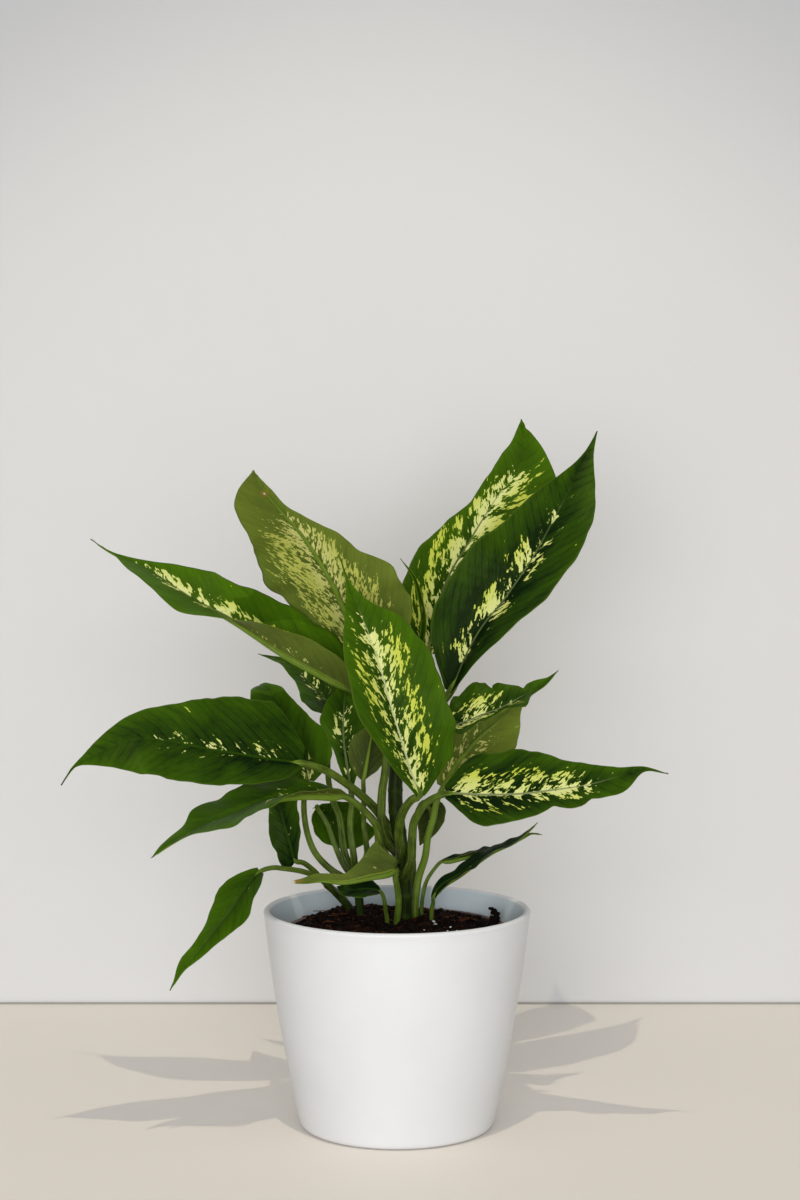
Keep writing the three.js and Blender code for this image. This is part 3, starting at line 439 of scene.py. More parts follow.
def stalk_material(name, dark_code, pale_code, streak_code):
    """Smooth juicy stalk: green with fine lengthwise streaks of paler tissue."""
    material, node, surface = new_material(name)
    vein_map = node("UVMap", uv_map="vein")
    vein = node("SeparateXYZ", (vein_map,)).outputs
    tone = node("SeparateXYZ", (node("UVMap", uv_map="tone"),)).outputs
    # Streaks 0.5 mm wide and 15 mm long.
    stretched = node("CombineXYZ", (
        node("Math", (vein[0], 0.65), operation="MULTIPLY"),
        node("Math", (vein[1], 18.0), operation="MULTIPLY")))
    streak = node("TexNoise", {"Vector": stretched, "Scale": 1.0, "Detail": 3.0}, noise_dimensions="2D")
    dapple = node("TexNoise", {"Vector": vein_map, "Scale": 1.6, "Detail": 2.0}, noise_dimensions="2D")
    lift = node("MapRange", (dapple, 0.3, 0.7, -0.15, 0.15))
    lift = node("Math", (lift, tone[0]), operation="ADD", use_clamp=True)
    colour = node("Mix", {0: lift, 6: paint(dark_code), 7: paint(pale_code)}, data_type="RGBA")
    share = node("MapRange", (streak, 0.45, 0.75, 0.0, 0.5))
    colour = node("Mix", {0: share, 6: colour, 7: paint(streak_code)}, data_type="RGBA")
    relief = node("Bump", {"Strength": 0.3, "Distance": 0.2 * MM, "Height": streak})
    feed(surface, {"Base Color": colour, "Normal": relief, "Roughness": 0.42, "IOR": 1.45,
                   "Specular IOR Level": 0.1})
    return material


def earthy_material(name, codes, grain_mm, roughness, relief_mm):
    """Loose or fibrous matter: three colours mixed by a noise of that grain, with rough relief."""
    material, node, surface = new_material(name)
    where = node("TexCoord").outputs["Object"]
    grain = node("TexNoise", {
        "Vector": where, "Scale": 1 / (grain_mm * MM), "Detail": 5.0, "Roughness": 0.65})
    patch = node("TexNoise", {"Vector": where, "Scale": 1 / (6 * grain_mm * MM), "Detail": 2.0})
    low, middle, high = (paint(c) for c in codes)
    share = node("MapRange", (grain, 0.35, 0.65))
    colour = node("Mix", {0: share, 6: low, 7: middle}, data_type="RGBA")
    share = node("MapRange", (patch, 0.5, 0.75, 0.0, 0.6))
    colour = node("Mix", {0: share, 6: colour, 7: high}, data_type="RGBA")
    relief = node("Bump", {"Strength": 1.0, "Distance": relief_mm * MM, "Height": grain})
    feed(surface, {"Base Color": colour, "Normal": relief, "Roughness": roughness, "Specular IOR Level": 0.1})
    return material


def hard_material(name, codes, cloud, fine, share, rough, relief, ior):
    """A hard skin of two colours, mixed by soft clouds that also vary its roughness.

    cloud, fine: size in mm and detail of the clouds and of the relief. share: where on the clouds
    the second colour starts and is full, and how much of it. rough: least and most. relief:
    strength, and depth in mm.
    """
    material, node, surface = new_material(name)
    where = node("TexCoord").outputs["Object"]
    clouds, bumps = (node("TexNoise", {"Vector": where, "Scale": 1 / (size * MM), "Detail": detail})
                     for size, detail in (cloud, fine))
    start, full, most = share
    mixed = node("MapRange", (clouds, start, full, 0.0, most))
    first, second = (paint(c) for c in codes)
    colour = node("Mix", {0: mixed, 6: first, 7: second}, data_type="RGBA")
    roughness = node("MapRange", (clouds, 0.3, 0.7, rough[0], rough[1]))
    bump = node("Bump", {"Strength": relief[0], "Distance": relief[1] * MM, "Height": bumps})
    feed(surface, {"Base Color": colour, "Roughness": roughness, "Normal": bump, "IOR": ior})
    return material


def glaze_material(name, codes, rough):
    """Fired glaze on earthenware: an even coat, faintly clouded, with a soft orange-peel surface."""
    return hard_material(name, codes, (45, 3.0), (1.6, 2.0), (0.35, 0.7, 1.0), rough, (0.12, 0.1), 1.5)


def plastic_material():
    """Thin moulded polypropylene, red-brown, with the faint grain of the mould and dusty scuffs."""
    return hard_material("polypropylene, red-brown moulded", ("#4a2118", "#7a5240"), (7, 4.0), (0.5, 1.0),
                         (0.45, 0.75, 0.5), (0.45, 0.65), (0.2, 0.05), 1.49)


def painted_material(name, codes, roughness):
    """An even matt coat, faintly clouded: the stage's paint, and the grey strip of painted shade where table
    and wall meet.
    """
    material, node, surface = new_material(name)
    where = node("TexCoord").outputs["Object"]
    cloud = node("TexNoise", {"Vector": where, "Scale": 3.0, "Detail": 3.0})
    first, second = (paint(c) for c in codes)
    colour = node("Mix", {0: cloud, 6: first, 7: second}, data_type="RGBA")
    feed(surface, {"Base Color": colour, "Roughness": roughness})
    return material


def clear_from_behind(material):
    """Lets a view from behind the wall through to the plant. The front stays as it is."""
    node = functools.partial(add_node, material.node_tree)
    output = next(n for n in material.node_tree.nodes if n.type == "OUTPUT_MATERIAL")
    painted = output.inputs["Surface"].links[0].from_socket
    backfacing = node("NewGeometry").outputs["Backfacing"]
    mixed = node("MixShader", (backfacing, painted, node("BsdfTransparent")))
    feed(output, {"Surface": mixed})
    return material


# ---- Meshes ----

def put(name, data):
    """Puts an object with that data into the scene."""
    made = bpy.data.objects.new(name, data)
    bpy.context.scene.collection.objects.link(made)
    return made


MAPS = ("vein", "place", "cream", "tone", "spot")


class Mesh:
    """Points in millimetres, faces, what each face is made of, and the maps of each point."""

    def __init__(self):
        self.points = []
        self.maps = []
        self.faces = []
        self.looks = []
        self.flat = []
        self.count = 0

    def add_points(self, points, maps=None):
        """Adds rows of points and returns their numbers in the same rows."""
        points = np.asarray(points, float)
        shape = points.shape[:-1]
        total = int(np.prod(shape))
        self.points.append(points.reshape(-1, 3))
        held = np.zeros((total, 2 * len(MAPS)))
        if maps is not None:
            given = np.asarray(maps, float).reshape(total, -1)
            held[:, :given.shape[1]] = given
        self.maps.append(held)
        numbers = np.arange(self.count, self.count + total).reshape(shape)
        self.count += total
        return numbers

    def add_faces(self, faces, look=0, flat=False):
        self.faces.extend(faces)
        self.looks.extend([look] * len(faces))
        self.flat.extend([flat] * len(faces))

    def add_grid(self, numbers, look=0, closed=False, flat=False):
        """Four-sided faces over rows of numbered points. A closed row joins its last to its first."""
        after = np.roll(numbers, -1, axis=1) if closed else numbers[:, 1:]
        before = numbers if closed else numbers[:, :-1]
        faces = np.stack([before[:-1], after[:-1], after[1:], before[1:]], axis=-1).reshape(-1, 4)
        self.add_faces([tuple(int(n) for n in face) for face in faces], look, flat)

    def close_ends(self, numbers, looks=(0, 0)):
        """Closes a tube's first and last row with a face each."""
        for row, look in zip((numbers[0], numbers[-1][::-1]), looks):
            self.add_faces([tuple(int(n) for n in row)], look)

    def finish(self, name, materials, replaced=()):
        """Makes the piece, lets it ride with the plant's body and hides the CAD parts that it replaces."""
        mesh = bpy.data.meshes.new(name)
        points = np.concatenate(self.points) * MM
        mesh.from_pydata(points.tolist(), [], self.faces)
        for material in materials:
            mesh.materials.append(material)
        mesh.polygons.foreach_set("material_index", self.looks)
        mesh.polygons.foreach_set("use_smooth", [not flat for flat in self.flat])
        shaped = bmesh.new()
        shaped.from_mesh(mesh)
        bmesh.ops.recalc_face_normals(shaped, faces=shaped.faces)
        shaped.to_mesh(mesh)
        shaped.free()
        corners = np.zeros(len(mesh.loops), int)
        mesh.loops.foreach_get("vertex_index", corners)
        held = np.concatenate(self.maps)[corners]
        for i, map_name in enumerate(MAPS):
            layer = mesh.uv_layers.new(name=map_name)
            layer.data.foreach_set("uv", held[:, 2 * i:2 * i + 2].ravel())
        piece = put(name, mesh)
        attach(piece, BODY)
        if replaced:
            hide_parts(*replaced)
        return piece


def curve(s, here, leave, there, reach):
    """Smooth way from here to there as s goes from 0 to 1, with the slopes at both."""
    return ((2 * s**3 - 3 * s**2 + 1) * here + (s**3 - 2 * s**2 + s) * leave
            + (3 * s**2 - 2 * s**3) * there + (s**3 - s**2) * reach)


class Line:
    """A smooth line through points (centripetal Catmull-Rom), read by the length along it."""

    FINE = 40

    def __init__(self, points):
        given = np.array(points, float)
        p = np.vstack([2 * given[0] - given[1], given, 2 * given[-1] - given[-2]])
        dense = []
        for i in range(1, len(p) - 2):
            before, here, there, after = p[i - 1:i + 3]
            spans = ((before, here), (here, there), (there, after))
            d0, d1, d2 = (math.sqrt(np.linalg.norm(b - a)) for a, b in spans)
            leave = ((here - before) / d0 - (there - before) / (d0 + d1) + (there - here) / d1) * d1
            reach = ((there - here) / d1 - (after - here) / (d1 + d2) + (after - there) / d2) * d1
            s = np.linspace(0, 1, self.FINE, endpoint=False)[:, None]
            dense.append(curve(s, here, leave, there, reach))
        self.dense = np.vstack([*dense, p[-2]])
        steps = np.linalg.norm(np.diff(self.dense, axis=0), axis=1)
        self.run = np.concatenate([[0], np.cumsum(steps)])
        self.length = self.run[-1]
        self.knots = self.run[::self.FINE]
        self.slopes = np.gradient(self.dense, self.run, axis=0)

    def at(self, run):
        return np.column_stack([np.interp(run, self.run, self.dense[:, k]) for k in range(3)])

    def toward(self, run):
        slopes = np.column_stack([np.interp(run, self.run, self.slopes[:, k]) for k in range(3)])
        return slopes / np.linalg.norm(slopes, axis=1, keepdims=True)


def ups(t, tangents, face, tip_face=None):
    """Where the upper side looks at each t, square to the line there."""
    base, tip = (np.array(f, float) / np.linalg.norm(f) for f in (face, tip_face or face))
    up = base + (tip - base) * t[:, None]
    up = up - tangents * np.sum(up * tangents, axis=1, keepdims=True)
    return up / np.linalg.norm(up, axis=1, keepdims=True)


def tube(middle, up, side, reach, turn):
    """Rings of points round a line. turn: of each point from up; reach: how far off the line."""
    return (middle[:, None] + up[:, None] * (reach * np.cos(turn))[..., None]
            + side[:, None] * (reach * np.sin(turn))[..., None])


def around(count):
    """The turns of that many points round a circle."""
    return math.tau * np.arange(count) / count


def smoothstep(low, high, x):
    s = np.clip((x - low) / (high - low), 0, 1)
    return s * s * (3 - 2 * s)


# ---- Leaves ----

COLUMNS = np.array([0, 0.03, 0.07, 0.13, 0.22, 0.33, 0.45, 0.57, 0.69, 0.8, 0.9, 0.965, 1.0])
STALK_SIDES = 18


def along(values, t):
    """Value at each t of a list that is spread evenly from t = 0 to t = 1, with smooth bends."""
    values = np.array(values, float)
    place = np.clip(t, 0, 1) * (len(values) - 1)
    below = np.minimum(place.astype(int), len(values) - 2)
    s = place - below
    slopes = np.gradient(values)
    return curve(s, values[below], slopes[below], values[below + 1], slopes[below + 1])


def of_half(value, hand):
    """What one half has of a number for both or a pair of left and right."""
    return value[hand] if isinstance(value, tuple) else value


def blade_half(leaf, hand, t, number):
    """Distances out, up and the maps of one half of a blade, in rows along it and columns out."""
    widths = leaf["right" if hand else "left"]
    half = max(widths)
    share = np.maximum(along(widths, t) / half, 0.012)
    for which, place, width, depth in leaf["nicks"]:
        if which == hand:
            share = share * (1 - depth * np.exp(-((t - place) / width) ** 2))
    share = share * (1 + sum(
        height * np.sin(math.tau * (count * t + by_leaf * number + by_half * hand))
        for height, count, by_leaf, by_half in MARGIN_ROUGH))
    width = np.maximum(half * share, LEAST_HALF)[:, None]
    v = COLUMNS[None, :]
    turn = along([of_half(step, hand) for step in leaf["fold"]], t)[:, None]
    angle = np.radians(turn + np.minimum(0.25 * turn, 8) * (1 - 2 * v))
    steps = np.diff(COLUMNS)[None, :]

    def summed(values):
        parts = 0.5 * (values[:, 1:] + values[:, :-1]) * steps
        return width * np.concatenate([np.zeros((len(t), 1)), np.cumsum(parts, axis=1)], axis=1)

    out, rise = summed(np.cos(angle)), summed(np.sin(angle))
    reach = width * v
    tt, ss = t[:, None], share[:, None]
    height, count, phase = leaf["wave"]
    rise = rise + height * v**2 * ss * np.sin(math.tau * (count * tt + phase + 0.37 * hand))
    fine_turn = FINE_COUNT * count * tt + 0.23 * number + 0.61 * hand
    rise = rise + FINE_RIPPLE * v**2 * ss * np.sin(math.tau * fine_turn)
    veins = tt * leaf["length"] - VEIN_LEAN * reach - VEIN_BEND * reach**2 / half
    swell = VEIN_RELIEF * smoothstep(0.05, 0.3, v) * (1 - smoothstep(0.75, 1, v)) * smoothstep(0, 0.1, tt)
    rise = rise + swell * np.sin(math.tau * veins / VEIN_STEP)
    rib = RIB_BASE + (RIB_TIP - RIB_BASE) * tt
    rise = rise - RIB_VALLEY * (1 - tt) ** 0.7 * np.exp(-(reach / rib) ** 2)

    start, stop = leaf["run"]
    patterned = smoothstep(start, start + 0.12, tt) * (1 - smoothstep(stop - 0.25, stop, tt))
    cream_reach = of_half(leaf["reach"], hand)
    patterned = patterned * (1 - smoothstep(0.6 * cream_reach, 1.15 * cream_reach, v))
    height, count, phase = leaf["clumps"]
    cream = of_half(leaf["cream"], hand) + height * np.sin(math.tau * (count * tt + phase))
    cover = NO_CREAM + (cream - NO_CREAM) * patterned
    by_rib = np.exp(-(reach / CREAM_RIB) ** 2) * (1 - smoothstep(stop - 0.15, stop, tt))
    cover = cover + 0.45 * leaf["rib"] * by_rib
    shift = FLECK_SHIFT * number
    off_rib = reach if hand else -reach
    spot_t, spot_off, spot_size = leaf["spot"]
    # Two numbers for each map: lengths in centimetres, places and tones as shares.
    maps = [
        veins / 10 + shift, off_rib / 10 * 1.5 + shift, reach / 10, tt, cover, v, leaf["tone"], leaf["rib"],
        (tt - spot_t) * leaf["length"] / (10 * spot_size), (off_rib - spot_off) / (10 * spot_size),
    ]
    return out, rise, np.stack(np.broadcast_arrays(*maps), axis=-1)


def add_blade(mesh, leaf, line, start, number):
    """The blade: upper and under skin, and the thin margin that joins them."""
    rows = int(np.clip(leaf["length"] / BLADE_STEP, 30, 120))
    even = np.linspace(0, 1, rows)
    t = 0.6 * even + 0.4 * (1 - np.cos(math.pi * even)) / 2
    middle = line.at(start + t * leaf["length"])
    tangent = line.toward(start + t * leaf["length"])
    up = ups(t, tangent, leaf["face"], leaf["tip_face"])
    side = np.cross(tangent, up)
    halves = []
    for hand, sign in ((0, -1), (1, 1)):
        out, rise, maps = blade_half(leaf, hand, t, number)
        spots = middle[:, None] + sign * side[:, None] * out[..., None] + up[:, None] * rise[..., None]
        halves.append((spots, maps))
    spots, maps = (np.concatenate([left[:, :0:-1], right], axis=1) for left, right in zip(*halves))
    normal = np.cross(np.gradient(spots, axis=1), np.gradient(spots, axis=0))
    normal /= np.maximum(np.linalg.norm(normal, axis=2, keepdims=True), 1e-9)
    out_share = np.abs(np.concatenate([-COLUMNS[:0:-1], COLUMNS]))
    thick = (BLADE_MIDDLE + (BLADE_EDGE - BLADE_MIDDLE) * out_share**1.5)[None, :, None]
    top = mesh.add_points(spots + normal * thick / 2, maps)
    under = mesh.add_points(spots - normal * thick / 2, maps)
    mesh.add_grid(top, look=0)
    mesh.add_grid(under[:, ::-1], look=1)
    for border_top, border_under in ((top[:, 0], under[:, 0]), (under[:, -1], top[:, -1]),
                                     (under[0], top[0]), (top[-1], under[-1])):
        mesh.add_grid(np.stack([border_top, border_under], axis=1), look=1, flat=True)


def stalk_maps(run, radius, turn, share, tone):
    """Maps of a stalk or a stem: the way along and round it in centimetres, its share and its tone."""
    maps = (run[:, None] / 10, turn * radius[:, None] / 10, 0, share[:, None], 0, 0, tone[:, None], 0)
    return np.stack(np.broadcast_arrays(*maps), axis=-1)


def add_stalk(mesh, leaf, line, start):
    """The stalk from its foot, and the midrib that it goes on as under the blade."""
    stalk_run = np.arange(0, start, STALK_STEP)
    blade_t = np.linspace(0, 0.97, int(np.clip(leaf["length"] / RIB_STEP, 12, 60)))
    run = np.concatenate([stalk_run, start + blade_t * leaf["length"]])
    t = np.clip((run - start) / leaf["length"], 0, 1)
    share = np.clip(run / start, 0, 1)
    on_blade = smoothstep(0.0, 0.06, t)
    middle, tangent = line.at(run), line.toward(run)
    up = ups(t, tangent, leaf["face"], leaf["tip_face"])
    side = np.cross(tangent, up)
    foot, neck = leaf["radius"]
    radius = np.where(t > 0, neck * (1 - t) ** 0.9 + 0.15, foot + (neck - foot) * share)
    sink = on_blade * (BLADE_MIDDLE / 2 + RIB_VALLEY * (1 - t) ** 0.7 + RIB_SUNK * radius)
    turn = around(STALK_SIDES) - math.pi
    sheath = SHEATH * (1 - smoothstep(0.1, 0.6, share)) * (1 - on_blade)
    groove = GROOVE * (1 - on_blade)
    ring = (1 - groove[:, None] * np.exp(-(turn / 0.45) ** 2)
            + sheath[:, None] * np.exp(-((np.abs(turn) - 0.75) / 0.3) ** 2))
    tone = leaf["stalk_tone"] * (FOOT_SHADE + (1 - FOOT_SHADE) * smoothstep(0, 0.6, share))
    tone = tone + (RIB_TONE - tone) * on_blade
    maps = stalk_maps(run, radius, turn, share, tone)
    numbers = mesh.add_points(tube(middle - up * sink[:, None], up, side, radius[:, None] * ring, turn), maps)
    mesh.add_grid(numbers, look=2, closed=True)
    mesh.close_ends(numbers, (2, 2))


def make_leaf(name, given, number, materials):
    leaf = PLAIN_LEAF | {"right": given["left"]} | given
    line = Line(leaf["stalk"] + leaf["blade"])
    start = line.knots[len(leaf["stalk"])]
    leaf["length"] = line.length - start
    mesh = Mesh()
    add_blade(mesh, leaf, line, start, number)
    add_stalk(mesh, leaf, line, start)
    return mesh.finish(name + "_grown", materials, [name])


# ---- Stems ----

STEM_SIDES = 28


def make_stem(name, points, radii, material):
    """A stem with the rings that fallen leaves leave, a little swollen and paler at each."""
    line = Line(points)
    run = np.arange(0, line.length, STEM_STEP)
    share = run / line.length
    tangent = line.toward(run)
    up = ups(share, tangent, (0, -1, 0.01))
    swell = 0.08 * np.exp(-((run % SCAR_STEP - 0.5 * SCAR_STEP) / 1.1) ** 2)
    radius = (radii[0] + (radii[1] - radii[0]) * share) * (1 + swell)
    turn = around(STEM_SIDES)
    reach = radius[:, None] * (1 + 0.03 * np.cos(3 * turn))
    mesh = Mesh()
    numbers = mesh.add_points(tube(line.at(run), up, np.cross(tangent, up), reach, turn),
                              stalk_maps(run, radius, turn, np.zeros(len(run)), 0.25 + 6 * swell))
    mesh.add_grid(numbers, closed=True)
    mesh.close_ends(numbers)
    return mesh.finish(name + "_grown", [material], [name])


# ---- Pot and soil ----

POT_SIDES = 192
WALL_STEPS = 25     # of the pot's profile, outside and inside
LIP_STEPS = 14
EDGE_STEPS = 10     # round the edge of the underside


def lathe(mesh, profile, sides, looks):
    """Turns a profile of (radius, height) round the pot's axis. looks: material of each step."""
    turn = around(sides)
    profile = np.array(profile, float)
    points = np.stack([profile[:, :1] * np.cos(turn), profile[:, :1] * np.sin(turn),
                       profile[:, 1:] + 0 * turn], axis=-1)
    numbers = mesh.add_points(points)
    for i, look in enumerate(looks):
        mesh.add_grid(numbers[i:i + 2], look=look, closed=True)
    mesh.close_ends(numbers, (looks[0], looks[-1]))


def cover_radius(z):
    share = z / COVER["height"]
    return COVER["base"] + (COVER["rim"] - COVER["base"]) * share + COVER["bulge"] * math.sin(math.pi * share)


def make_cover_pot(outside, inside):
    edge, wall, height, floor = (COVER[k] for k in ("edge", "wall", "height", "floor"))
    profile = [(COVER["base"] - edge - 1, 0.6), (COVER["base"] - edge, 0)]
    corner = [(COVER["base"] - edge, 0), (COVER["base"], 0), (cover_radius(edge), edge)]
    for s in np.linspace(1 / EDGE_STEPS, 1, EDGE_STEPS):
        weights = ((1 - s) ** 2, 2 * s * (1 - s), s * s)
        profile.append(tuple(sum(w * c[k] for w, c in zip(weights, corner)) for k in range(2)))
    top = height - wall / 2
    profile += [(cover_radius(z), z) for z in np.linspace(edge, top, WALL_STEPS + 1)[1:]]
    lip = cover_radius(height) - wall / 2
    profile += [(lip + wall / 2 * math.cos(a), top + wall / 2 * math.sin(a))
                for a in np.linspace(0, math.pi, LIP_STEPS + 1)[1:]]
    outer = len(profile) - 3
    profile += [(cover_radius(z) - wall, z) for z in np.linspace(top, floor + 3, WALL_STEPS + 1)[1:]]
    profile += [(cover_radius(floor) - wall - 1, floor + 0.9), (cover_radius(floor) - wall - 3, floor)]
    # Look 1, the inner wall and floor, takes the white glaze with painted cool shade.
    looks = [0 if i < outer else 1 for i in range(len(profile) - 1)]
    mesh = Mesh()
    lathe(mesh, profile, POT_SIDES, looks)
    return mesh.finish("cover_pot_glazed", [outside, inside], ["cover_pot"])


def grow_radius(z):
    share = (z - GROW_FOOT) / (GROW_TOP - GROW_FOOT)
    return GROW["base"] + (GROW["rim"] - GROW["rim_width"] - GROW["base"]) * share


def soil_height(x, y):
    """Height of the soil's surface, heaped at the back left, without crumbs."""
    shape = SOIL["heap"] * math.exp(-((x - SOIL["heap_x"]) ** 2 + (y - SOIL["heap_y"]) ** 2)
                                    / (2 * SOIL["spread"] ** 2))
    # Two sines, and over them a noise of clods about 9 mm wide.
    rough = SOIL["rough"] * (math.sin(x / 3.2 + 1) * math.cos(y / 3.7) + 0.5 * math.sin(x / 1.2 + y / 1.4))
    edge = math.hypot(x, y) / soil_radius(GROW_TOP)
    crumbled = SOIL["crumbled"] * noise.fractal(Vector((x, y, 0)) * SOIL["clods"], 0.7, 2.1, 5)
    level = GROW_TOP - SOIL["below"] + shape + rough + crumbled
    return GROW_TOP - SOIL["below"] + (level - GROW_TOP + SOIL["below"]) * (1 - min(edge, 1) ** 6)


def soil_radius(z):
    return grow_radius(z) - GROW["wall"] - GAP


SOIL_RINGS, SOIL_SIDES = 70, 200


def make_soil(material):
    """The peat plug: a lumpy top that reaches the grow pot's wall."""
    mesh = Mesh()
    turn = around(SOIL_SIDES)
    rows = []
    foot = GROW_FOOT + GROW["wall"] + GAP
    shoulder = GROW_TOP - 3
    for radius, height in ((soil_radius(foot), foot), (soil_radius(shoulder), shoulder)):
        rows.append([(radius * math.cos(a), radius * math.sin(a), height) for a in turn])
    for radius in np.linspace(soil_radius(GROW_TOP) - 0.4, 0.4, SOIL_RINGS):
        row = [(radius * math.cos(a), radius * math.sin(a)) for a in turn]
        rows.append([(x, y, soil_height(x, y)) for x, y in row])
    numbers = mesh.add_points(rows)
    mesh.add_grid(numbers, closed=True)
    mesh.close_ends(numbers)
    return mesh.finish("peat_plug", [material], ["soil"])


def lump(mesh, rng, middle, size, flatness=1.0, stretch=1.0):
    """An irregular crumb: an icosahedron with each corner pushed in or out."""
    golden = (1 + math.sqrt(5)) / 2
    corners = [np.roll((side, end * golden, 0), axis)
               for axis in range(3) for end in (1, -1) for side in (-1, 1)]
    faces = [(0, 11, 5), (0, 5, 1), (0, 1, 7), (0, 7, 10), (0, 10, 11), (1, 5, 9), (5, 11, 4), (11, 10, 2),
             (10, 7, 6), (7, 1, 8), (3, 9, 4), (3, 4, 2), (3, 2, 6), (3, 6, 8), (3, 8, 9), (4, 9, 5),
             (2, 4, 11), (6, 2, 10), (8, 6, 7), (9, 8, 1)]
    turn = rng.uniform(0, math.tau)
    tilt = rng.uniform(-0.5, 0.5)
    points = []
    for corner in corners:
        x, y, z = (c / 1.9 * size * rng.uniform(0.7, 1.25) for c in corner)
        x, z = x * stretch, z * flatness
        x, z = x * math.cos(tilt) - z * math.sin(tilt), x * math.sin(tilt) + z * math.cos(tilt)
        points.append((middle[0] + x * math.cos(turn) - y * math.sin(turn),
                       middle[1] + x * math.sin(turn) + y * math.cos(turn), middle[2] + z))
    numbers = mesh.add_points(points)
    mesh.add_faces([tuple(int(numbers[k]) for k in face) for face in faces])


def on_soil(rng, reach=0.97):
    """A random place on the soil."""
    radius = soil_radius(GROW_TOP) * reach * math.sqrt(rng.random())
    turn = rng.uniform(0, math.tau)
    x, y = radius * math.cos(turn), radius * math.sin(turn)
    return x, y, soil_height(x, y)


def make_crumbs(name, material, count, sizes, seed, flatness=1.0, stretch=1.0, sink=0.15, extra=()):
    """Crumbs scattered on the soil, with a few more where the table puts them."""
    rng = random.Random(seed)
    mesh = Mesh()
    for _ in range(count):
        size = sizes[0] + (sizes[1] - sizes[0]) * rng.random() ** 2.5
        x, y, z = on_soil(rng, 1 - size / 60)
        lump(mesh, rng, (x, y, z + size * sink), size, flatness, stretch)
    for x, y, lift, size in extra:
        lump(mesh, rng, (x, y, soil_height(x, y) + lift), size, flatness, stretch)
    return mesh.finish(name, [material])


FIBRES, FIBRE_SIDES = 170, 5


def make_fibres(material):
    """Short peat fibres and rootlets that stick out of the soil."""
    rng = random.Random(23)
    mesh = Mesh()
    for _ in range(FIBRES):
        x, y, z = on_soil(rng, 0.93)
        turn = rng.uniform(0, math.tau)
        length = rng.uniform(4, 13)
        lean = rng.uniform(0.0, 0.35)
        points = []
        for s in (0, 0.3, 0.65, 1.0):
            way = turn + s * rng.uniform(-0.9, 0.9)
            far = length * (s - 0.2)
            points.append((x + far * math.cos(way), y + far * math.sin(way),
                           z + 0.1 + lean * length * s * (1.2 - s)))
        line = Line(points)
        run = np.linspace(0, line.length, 7)
        tangent = line.toward(run)
        up = ups(run / line.length, tangent, (0.01, 0, 1))
        radius = rng.uniform(0.15, 0.4)
        reach = np.full((len(run), FIBRE_SIDES), radius)
        numbers = mesh.add_points(tube(line.at(run), up, np.cross(tangent, up), reach, around(FIBRE_SIDES)))
        mesh.add_grid(numbers, closed=True)
        mesh.close_ends(numbers)
    return mesh.finish("peat_fibres", [material])


# ---- Camera, lights and stage, in metres ----

CAMERA_PLACE = (0.0018, -1.387, 0.393)
CAMERA_TILT = math.radians(90 - 3.18)
WALL_BEHIND = 0.315     # from the pot's axis to the backdrop
STAGE_REACH = 3.0       # how far the table top and the wall go on
CORNER_SHADE_HEIGHT = 0.0015   # of the grey strip of painted shade where they meet
WINDOW_PLACE = (-0.1, -1.9, 0.4)    # large soft window behind the camera
LAMP_PLACE = (-0.04, -0.63, 1.68)   # small warm lamp over the front: it draws the floor shadows


def make_camera():
    camera = bpy.data.cameras.new("camera")
    camera.lens = 70
    camera.sensor_width = 36
    holder = put("camera", camera)
    holder.location = CAMERA_PLACE
    holder.rotation_euler = (CAMERA_TILT, 0, 0)
    bpy.context.scene.camera = holder


def make_light(name, kind, place, target, energy, colour, **settings):
    light = bpy.data.lights.new(name, kind)
    light.energy = energy
    light.color = paint(colour)[:3]
    for key, value in settings.items():
        setattr(light, key, value)
    holder = put(name, light)
    holder.location = place
    holder.rotation_euler = (Vector(target) - Vector(place)).to_track_quat("-Z", "Y").to_euler()


def make_stage():
    """Pale table top and pale wall, with a narrow grey strip of painted shade in the corner between them."""
    before_wall = WALL_BEHIND - 0.001
    wall_paint = painted_material("wall, white matt emulsion paint", ("#dcdcdc", "#d8d8d8"), 0.9)
    for name, near, far, material in (
            ("table_top", (-STAGE_REACH, 0), (WALL_BEHIND, 0),
             painted_material("table top, cream matt paint", ("#f3ece3", "#f0e9e0"), 0.5)),
            ("wall", (WALL_BEHIND, 0), (WALL_BEHIND, STAGE_REACH), clear_from_behind(wall_paint)),
            # A grey strip just before the wall's foot: painted shade in the corner.
            ("joint", (before_wall, 0), (before_wall, CORNER_SHADE_HEIGHT),
             painted_material("painted corner shade, grey", ("#a3a09a", "#999690"), 0.9))):
        corners = [(x, *edge) for edge, sign in ((near, 1), (far, -1))
                   for x in (-sign * STAGE_REACH, sign * STAGE_REACH)]
        mesh = bpy.data.meshes.new(name)
        mesh.from_pydata(corners, [], [(0, 1, 2, 3)])
        mesh.materials.append(material)
        put(name, mesh)


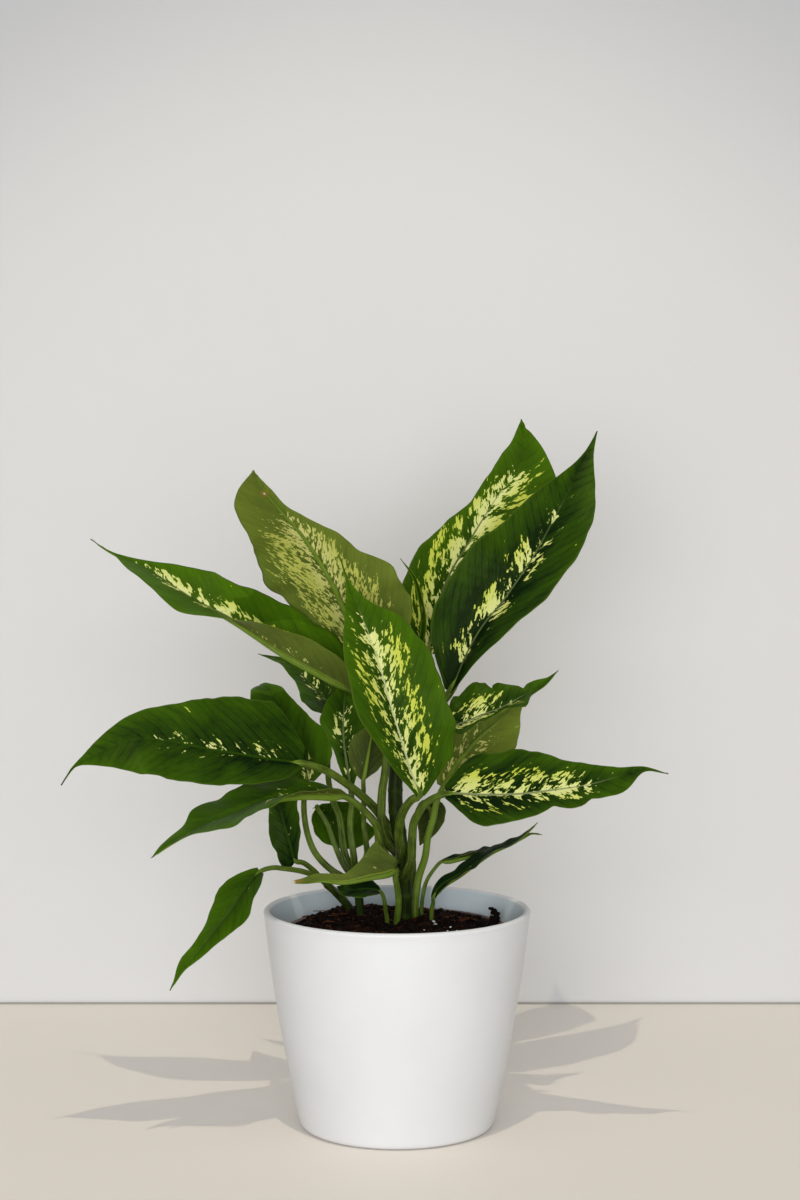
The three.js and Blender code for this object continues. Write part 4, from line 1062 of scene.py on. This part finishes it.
def make_lights():
    make_light("window", "AREA", WINDOW_PLACE, (0, 0, 0.1), 7.5, "#fbfcff", shape="RECTANGLE",
               size=1.4, size_y=0.9, spread=math.radians(90))
    make_light("lamp", "SPOT", LAMP_PLACE, (0, 0, 0.05), 26, "#fff5dc", shadow_soft_size=0.006,
               spot_size=math.radians(54), spot_blend=0.5)
    world = bpy.data.worlds.new("room")
    world.use_nodes = True
    world.node_tree.nodes["Background"].inputs[0].default_value = paint("#f2f4f6")
    world.node_tree.nodes["Background"].inputs[1].default_value = 0.4
    bpy.context.scene.world = world
    bpy.context.scene.view_settings.view_transform = "Standard"


# ---- The potted plant ----

leaf_looks = [
    leaf_upper_material(),
    leaf_under_material(),
    stalk_material("leaf stalk, smooth and juicy", "#161f05", "#60791f", "#7f9048"),
]
for number, (name, given) in enumerate(LEAVES.items()):
    make_leaf(name, given, number, leaf_looks)

stem_look = stalk_material("stem skin, ringed", "#101904", "#293c0a", "#435419")
for name, (points, radii) in STEMS.items():
    make_stem(name, points, radii, stem_look)

make_cover_pot(
    glaze_material("earthenware, white matt glaze", ("#dddee0", "#d9dadb"), (0.38, 0.47)),
    # The inside has the same white glaze, tinted blue-grey and darker: painted cool shade.
    glaze_material("earthenware, white glaze with painted cool shade inside", ("#d3dee2", "#cad6db"), (0.36, 0.45)),
)
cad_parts["grow_pot"].data.materials.clear()
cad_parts["grow_pot"].data.materials.append(plastic_material())

peat = earthy_material("peat, damp and crumbly", ("#080403", "#190d07", "#33180b"), 1.6, 0.9, 0.6)
make_soil(peat)
bark = earthy_material("pine bark, torn chips", ("#2a130a", "#4a2313", "#6b3a20"), 2.5, 0.8, 0.4)
perlite = earthy_material("perlite, white foamed glass", ("#c9c6bf", "#ecebe6", "#ffffff"), 0.6, 0.7, 0.3)
make_crumbs("peat_crumbs", peat, 1500, (0.5, 2.6), seed=5, extra=CLUMP)
make_crumbs("bark_chips", bark, 60, (1.0, 2.6), seed=11, flatness=0.35, stretch=1.7)
make_crumbs("perlite_bits", perlite, 16, (0.4, 1.0), seed=17, extra=FRONT_PERLITE)
make_fibres(earthy_material("peat fibre and rootlets", ("#3a1d0e", "#5f351b", "#8a5a34"), 3.0, 0.85, 0.1))

make_stage()
make_lights()
make_camera()
